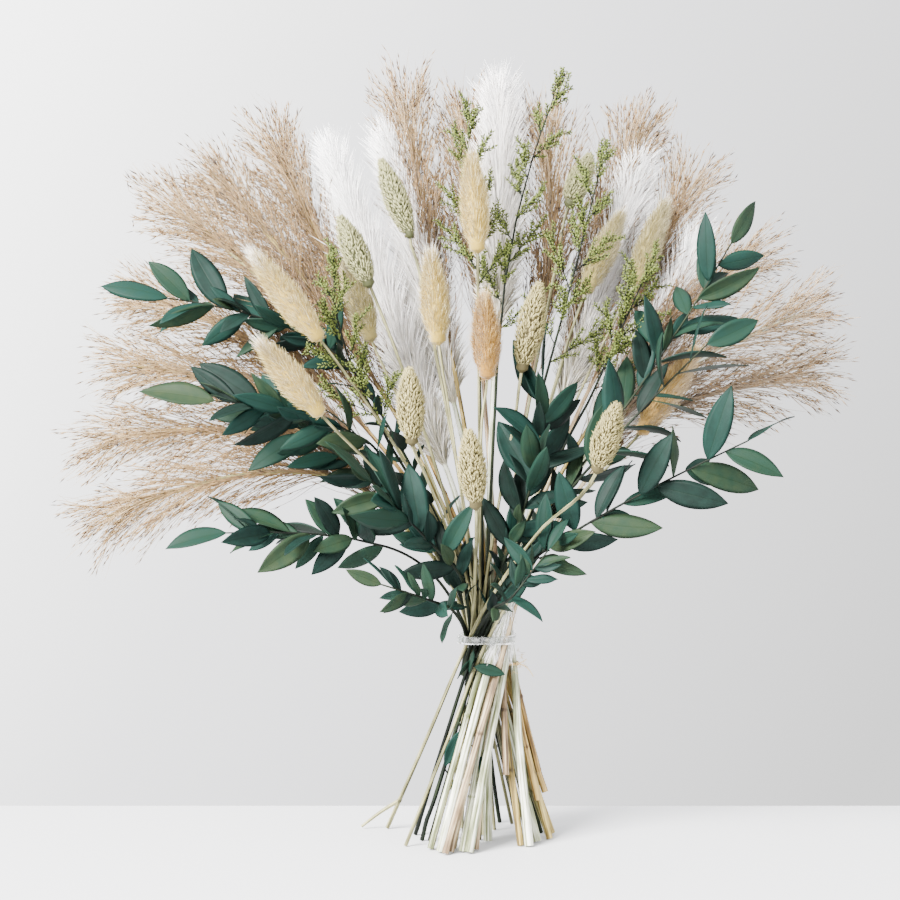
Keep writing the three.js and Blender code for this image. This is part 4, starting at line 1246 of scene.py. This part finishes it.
def ruscus_line(solid, high):
    """The line of a ruscus stem up to its leaves; the skins of some stems have to be sliced to find it."""
    rings = solid.rings(solid.foot)
    if len(rings) < 3:
        return solid.climb(min(leaf[0][2] for leaf in high) - 2)
    return np.array([solid.middle(ring) for ring in rings])


def low_leaves(node, line):
    """The leaves under the band, and the twigs that carry them."""
    twigs, leaves = [], []
    for height, foot, way, length, width in LOW_LEAVES.get(node, []):
        root = at_height(line, height)
        foot, way = np.array(foot), unit(np.array(way, float))
        twigs.append(bowed_once(root, root * 0.6 + foot * 0.4, foot, foot + way, 6))
        leaves.append((foot, way, square_to(way, np.array([0.2, -1.0, 0.3])), length, width))
    return twigs, leaves


def make_foliage(node, leaves, tail, random):
    """All the leaves of a stem; one that still lies in front of the tail is turned on edge."""
    shapes, blades, tones = [], [], []
    for leaf in leaves:
        loose = 1.0
        if before_tail(leaf, tail):
            leaf = (leaf[0], leaf[1], unit(np.cross(leaf[1], [0.0, 1.0, 0.0])), leaf[3], leaf[4])
            loose = 0.1
        place, blade = leaf_blade(*leaf, random, loose)
        shapes.append((place, LEAF_SKIN))
        blades.append(blade)
        tones.append(np.full(len(place), random.uniform(0, 1)))
    points, faces = together(shapes)
    foliage = new_object(node, points, faces=faces)
    set_attribute(foliage, "blade", "FLOAT_VECTOR", np.concatenate(blades))
    set_attribute(foliage, "tone", "FLOAT", np.concatenate(tones))
    foliage.data.materials.append(RUSCUS_LEAF)
    return foliage


def make_ruscus(node, seed, tail):
    """A ruscus stem with its leaves; those in front of one bunny tail stand on edge, so that it shows."""
    random = np.random.default_rng(seed)
    solid = Solid(node)
    leaves = read_leaves(solid)
    high = [leaf for leaf in leaves if leaf[0][2] > BAND_TOP]
    line = ruscus_line(solid, high)
    top = max(high, key=lambda leaf: np.linalg.norm(leaf[0] - line[-1]))[0]
    high.sort(key=lambda leaf: (leaf[0] - line[-1]) @ (top - line[-1]))
    roots = [leaf[0] for leaf in high]
    added = more_leaves(high, random)
    above = line[line[:, 2] > BAND_TOP + 3]
    if len(above) and np.linalg.norm(roots[0] - above[0]) > 12:
        bare = np.concatenate([above, roots[:1]])
        steps = np.linalg.norm(np.diff(bare, axis=0), axis=1)
        added += first_leaves(bare[np.concatenate([[True], steps > SAME_PLACE])], random)
    leaves += [leaf for leaf in added if not before_tail(leaf, tail)]
    twigs, hanging = low_leaves(node, line)
    kept = thinned(list(line) + roots)
    share = np.concatenate([[0], np.cumsum(np.linalg.norm(np.diff(kept, axis=0), axis=1))])
    girths = np.interp(share / share[-1], [0, 0.5, 1], [1.25, 0.85, 0.4])
    batches = [stem_batch(kept, girths, random, per=4)]
    if twigs:
        batches.append((np.array(twigs), np.full((1, 1), 0.45), np.full(len(twigs), 0.5)))
    stem = sweep(node, batches, 8, DARK_CULM)
    finish_piece(node, [stem, make_foliage(node, leaves + hanging, tail, random)])


# ---- Ties ---------------------------------------------------------------------------------------

OUTLINE_POINTS = 180
FILM_THICKNESS = 0.2
WRINKLE = 0.12  # how far the waves of the film stand out


def loop_outline(node):
    """A packed loop's outline from above, as a smooth line once round, and its lowest height."""
    points = Solid(node).points
    top = points[points[:, 2] > points[:, 2].max() - 0.01]
    gaps = np.linalg.norm(top[:, None] - top[None], axis=2) + np.eye(len(top)) * 99
    partner = gaps.argmin(1)
    far = np.linalg.norm(top - top.mean(0), axis=1)
    outer = top[far > far[partner]]
    middle = outer.mean(0)
    outer = outer[np.argsort(np.arctan2(*(outer - middle)[:, 1::-1].T))]
    line = Line(np.concatenate([outer[-3:], outer, outer[:4]]))
    low, high = line.at[3] / line.length, line.at[3 + len(outer)] / line.length
    return line.place(np.linspace(low, high, OUTLINE_POINTS + 1)[:-1]), points[:, 2].min()


def once_round(outline):
    """The angle once round and the level direction outwards, at every point of an outline."""
    turn = np.linspace(0, ROUND, len(outline), endpoint=False)
    return turn, unit((outline - outline.mean(0)) * [1, 1, 0])


def strip(outline, heights, inset, seed):
    """A closed strip of film round an outline, with a wavy face; heights are its edges at every point."""
    random = np.random.default_rng(seed)
    turn, out = once_round(outline)
    levels = np.linspace(0, 1, 7)
    waves = list(zip((5, 9, 14, 22), (1, -1, 2, -2), random.uniform(0, 6, 4)))
    skins = []
    for depth, side in ((0.0, 1), (FILM_THICKNESS, -1)):
        for level in levels[::side]:
            terms = [np.sin(k * turn + phase + 2 * level * a) / (1 + 0.1 * k) for k, a, phase in waves]
            rounding = 0.15 * (2 * level - 1) ** 4 * side
            wave = WRINKLE * sum(terms) * (0.5 + 0.5 * np.sin(np.pi * level))
            move = -inset - depth - rounding + wave
            row = outline + out * move[:, None]
            row[:, 2] = heights[0] + (heights[1] - heights[0]) * level
            skins.append(row)
    index = np.arange(len(skins) * len(outline)).reshape(len(skins), len(outline))
    beside, beyond = np.roll(index, -1, 1), np.roll(index, -1, 0)
    faces = np.stack([index, beside, np.roll(beyond, -1, 1), beyond], -1)
    return np.concatenate(skins), faces.reshape(-1, 4)


def make_band():
    """The clear band: two turns of film over each other, pulled tight and a little wrinkled."""
    outline, low = loop_outline("clear_band")
    turn, _ = once_round(outline)
    strips = []
    for seed, (start, end, tilt, inset) in enumerate(((0.9, 5.2, 0.5, 0.4), (1.9, 6.0, -0.4, 0.0))):
        lean = tilt * np.sin(turn + seed)
        strips.append(strip(outline, (low + start + lean, low + end + lean), inset, seed))
    points, faces = together(strips)
    band = new_object("clear_band", points, faces=faces)
    band.data.materials.append(FILM)
    finish_piece("clear_band", [band])


def make_raffia():
    """The raffia: two turns of a round straw strand, a knot in front, two loose ends and loose fibres."""
    random = np.random.default_rng(900)
    up = -DOWN
    outline, low = loop_outline("raffia_tie")
    turn, out = once_round(outline)
    strands = []
    for start, lean, inset in ((0.7, 0.35, 0.4), (1.6, -0.3, 0.2)):
        row = outline - out * inset
        row[:, 2] = low + start + lean * np.sin(turn) + 0.12 * np.sin(7 * turn)
        strands.append(np.concatenate([row, row[:1]]))
    knot_at = max(range(len(outline)), key=lambda i: out[i] @ [0.5, -0.87, 0])
    front = out[knot_at]
    knot = strands[1][knot_at] + front * 0.5
    side = np.cross(front, up)
    if side[0] < 0:
        side = -side
    loop = np.linspace(0, 2 * ROUND, 40)
    coil = knot + np.outer(np.cos(loop) * 0.8, side) + np.outer(np.sin(loop) * 0.75, up)
    coil = coil + np.outer(0.5 + 0.3 * np.sin(1.5 * loop), front)
    ends = []
    for reach, fall, lift in ((10.0, -7.5, 1.0), (5.0, 2.5, 2.0)):
        end = knot + side * reach + front * lift + up * fall
        bend = knot + side * reach * 0.6 + front * (lift + 0.6) + up * (fall * 0.1 + 0.6)
        ends.append(bowed_once(knot, knot + front, bend, end, 14))
    fibres = knot + random.normal(0, 1, (9, 1, 3)) * [1.5, 1.0, 5.0]
    fibres = fibres + np.cumsum(random.normal(0, 0.9, (9, 8, 3)), 1)
    fibres = fibres + np.linspace(0, 3.5, 8)[:, None] * side
    batches = [
        (np.array(strands), np.full((1, 1), 0.5), np.array([0.6, 0.4])),
        (fibres, np.full((1, 1), 0.09), np.full(len(fibres), 0.7)),
        (coil[None], np.full((1, 1), 0.36), np.array([0.5])),
        (np.array(ends), np.linspace(0.45, 0.2, 14)[None], np.array([0.6, 0.8])),
    ]
    finish_piece("raffia_tie", [sweep("raffia_tie", batches, 6, RAFFIA)])


# ---- Building -----------------------------------------------------------------------------------

make_camera()
make_floor()
make_world()
make_light("key", (-1.5, -1.6, 1.5), 1.2, 730, "#fffdfa")
make_light("fill", (1.6, -1.2, 0.6), 1.4, 35, "#f4f7ff")
REED_CULMS = [TAN_CULM, STRAW, OLIVE_CULM, TAN_CULM, STRAW, TAN_CULM, OLIVE_CULM, STRAW]
REED_CULMS += [ROSY_CULM, ROSY_CULM, PALE_CULM, ROSY_CULM, STRAW, PALE_CULM, ROSY_CULM]
REED_FULLNESS = (6, 5, 5, 4, 4, 4, 4, 4, 4, 4, 4, 3, 3, 3, 3)  # threads for each packed branch
for number, (culm, fullness) in enumerate(zip(REED_CULMS, REED_FULLNESS), 1):
    make_reed(f"reed_plume_{number:02d}", number, culm, fullness)
for number in range(1, 6):
    light = 0.7 if number == 3 else 1.0  # painted shade: the upright plume stands back in the shade of the others, so it is painted greyer
    make_pampas(f"white_pampas_{number}", 100 + number, light, sheath=number > 3)
DOWNS = [CREAM_DOWN, CREAM_DOWN, OLIVE_DOWN, CREAM_DOWN, CREAM_DOWN, PEACH_DOWN]
DOWNS += [OLIVE_DOWN, OLIVE_DOWN, GOLD_DOWN]
TUFTS = (110, 60, 20, 35, 20, 25, 20, 20, 20)  # hairs in each tail's tuft
for number, (down, tuft) in enumerate(zip(DOWNS, TUFTS), 1):
    make_bunny_tail(f"bunny_tail_{number}", 200 + number, down, tuft)
SCALES = [GREEN_SCALES] * 2 + [CREAM_SCALES] * 4 + [GREEN_SCALES]
for number, scales in enumerate(SCALES, 1):
    make_canary_head(f"canary_grass_{number}", 300 + number, scales)
for number in range(1, 6):
    make_sea_lavender(f"sea_lavender_{number}", 400 + number)
golden_tail = read_head("bunny_tail_9")[0].place(np.linspace(0, 1, 12))
for number in range(1, 12):
    make_ruscus(f"ruscus_{number:02d}", 500 + number, golden_tail)
make_band()
make_raffia()

# ---- Finish -------------------------------------------------------------------------------------

for shape in SHAPES:
    bpy.data.objects.remove(shape)
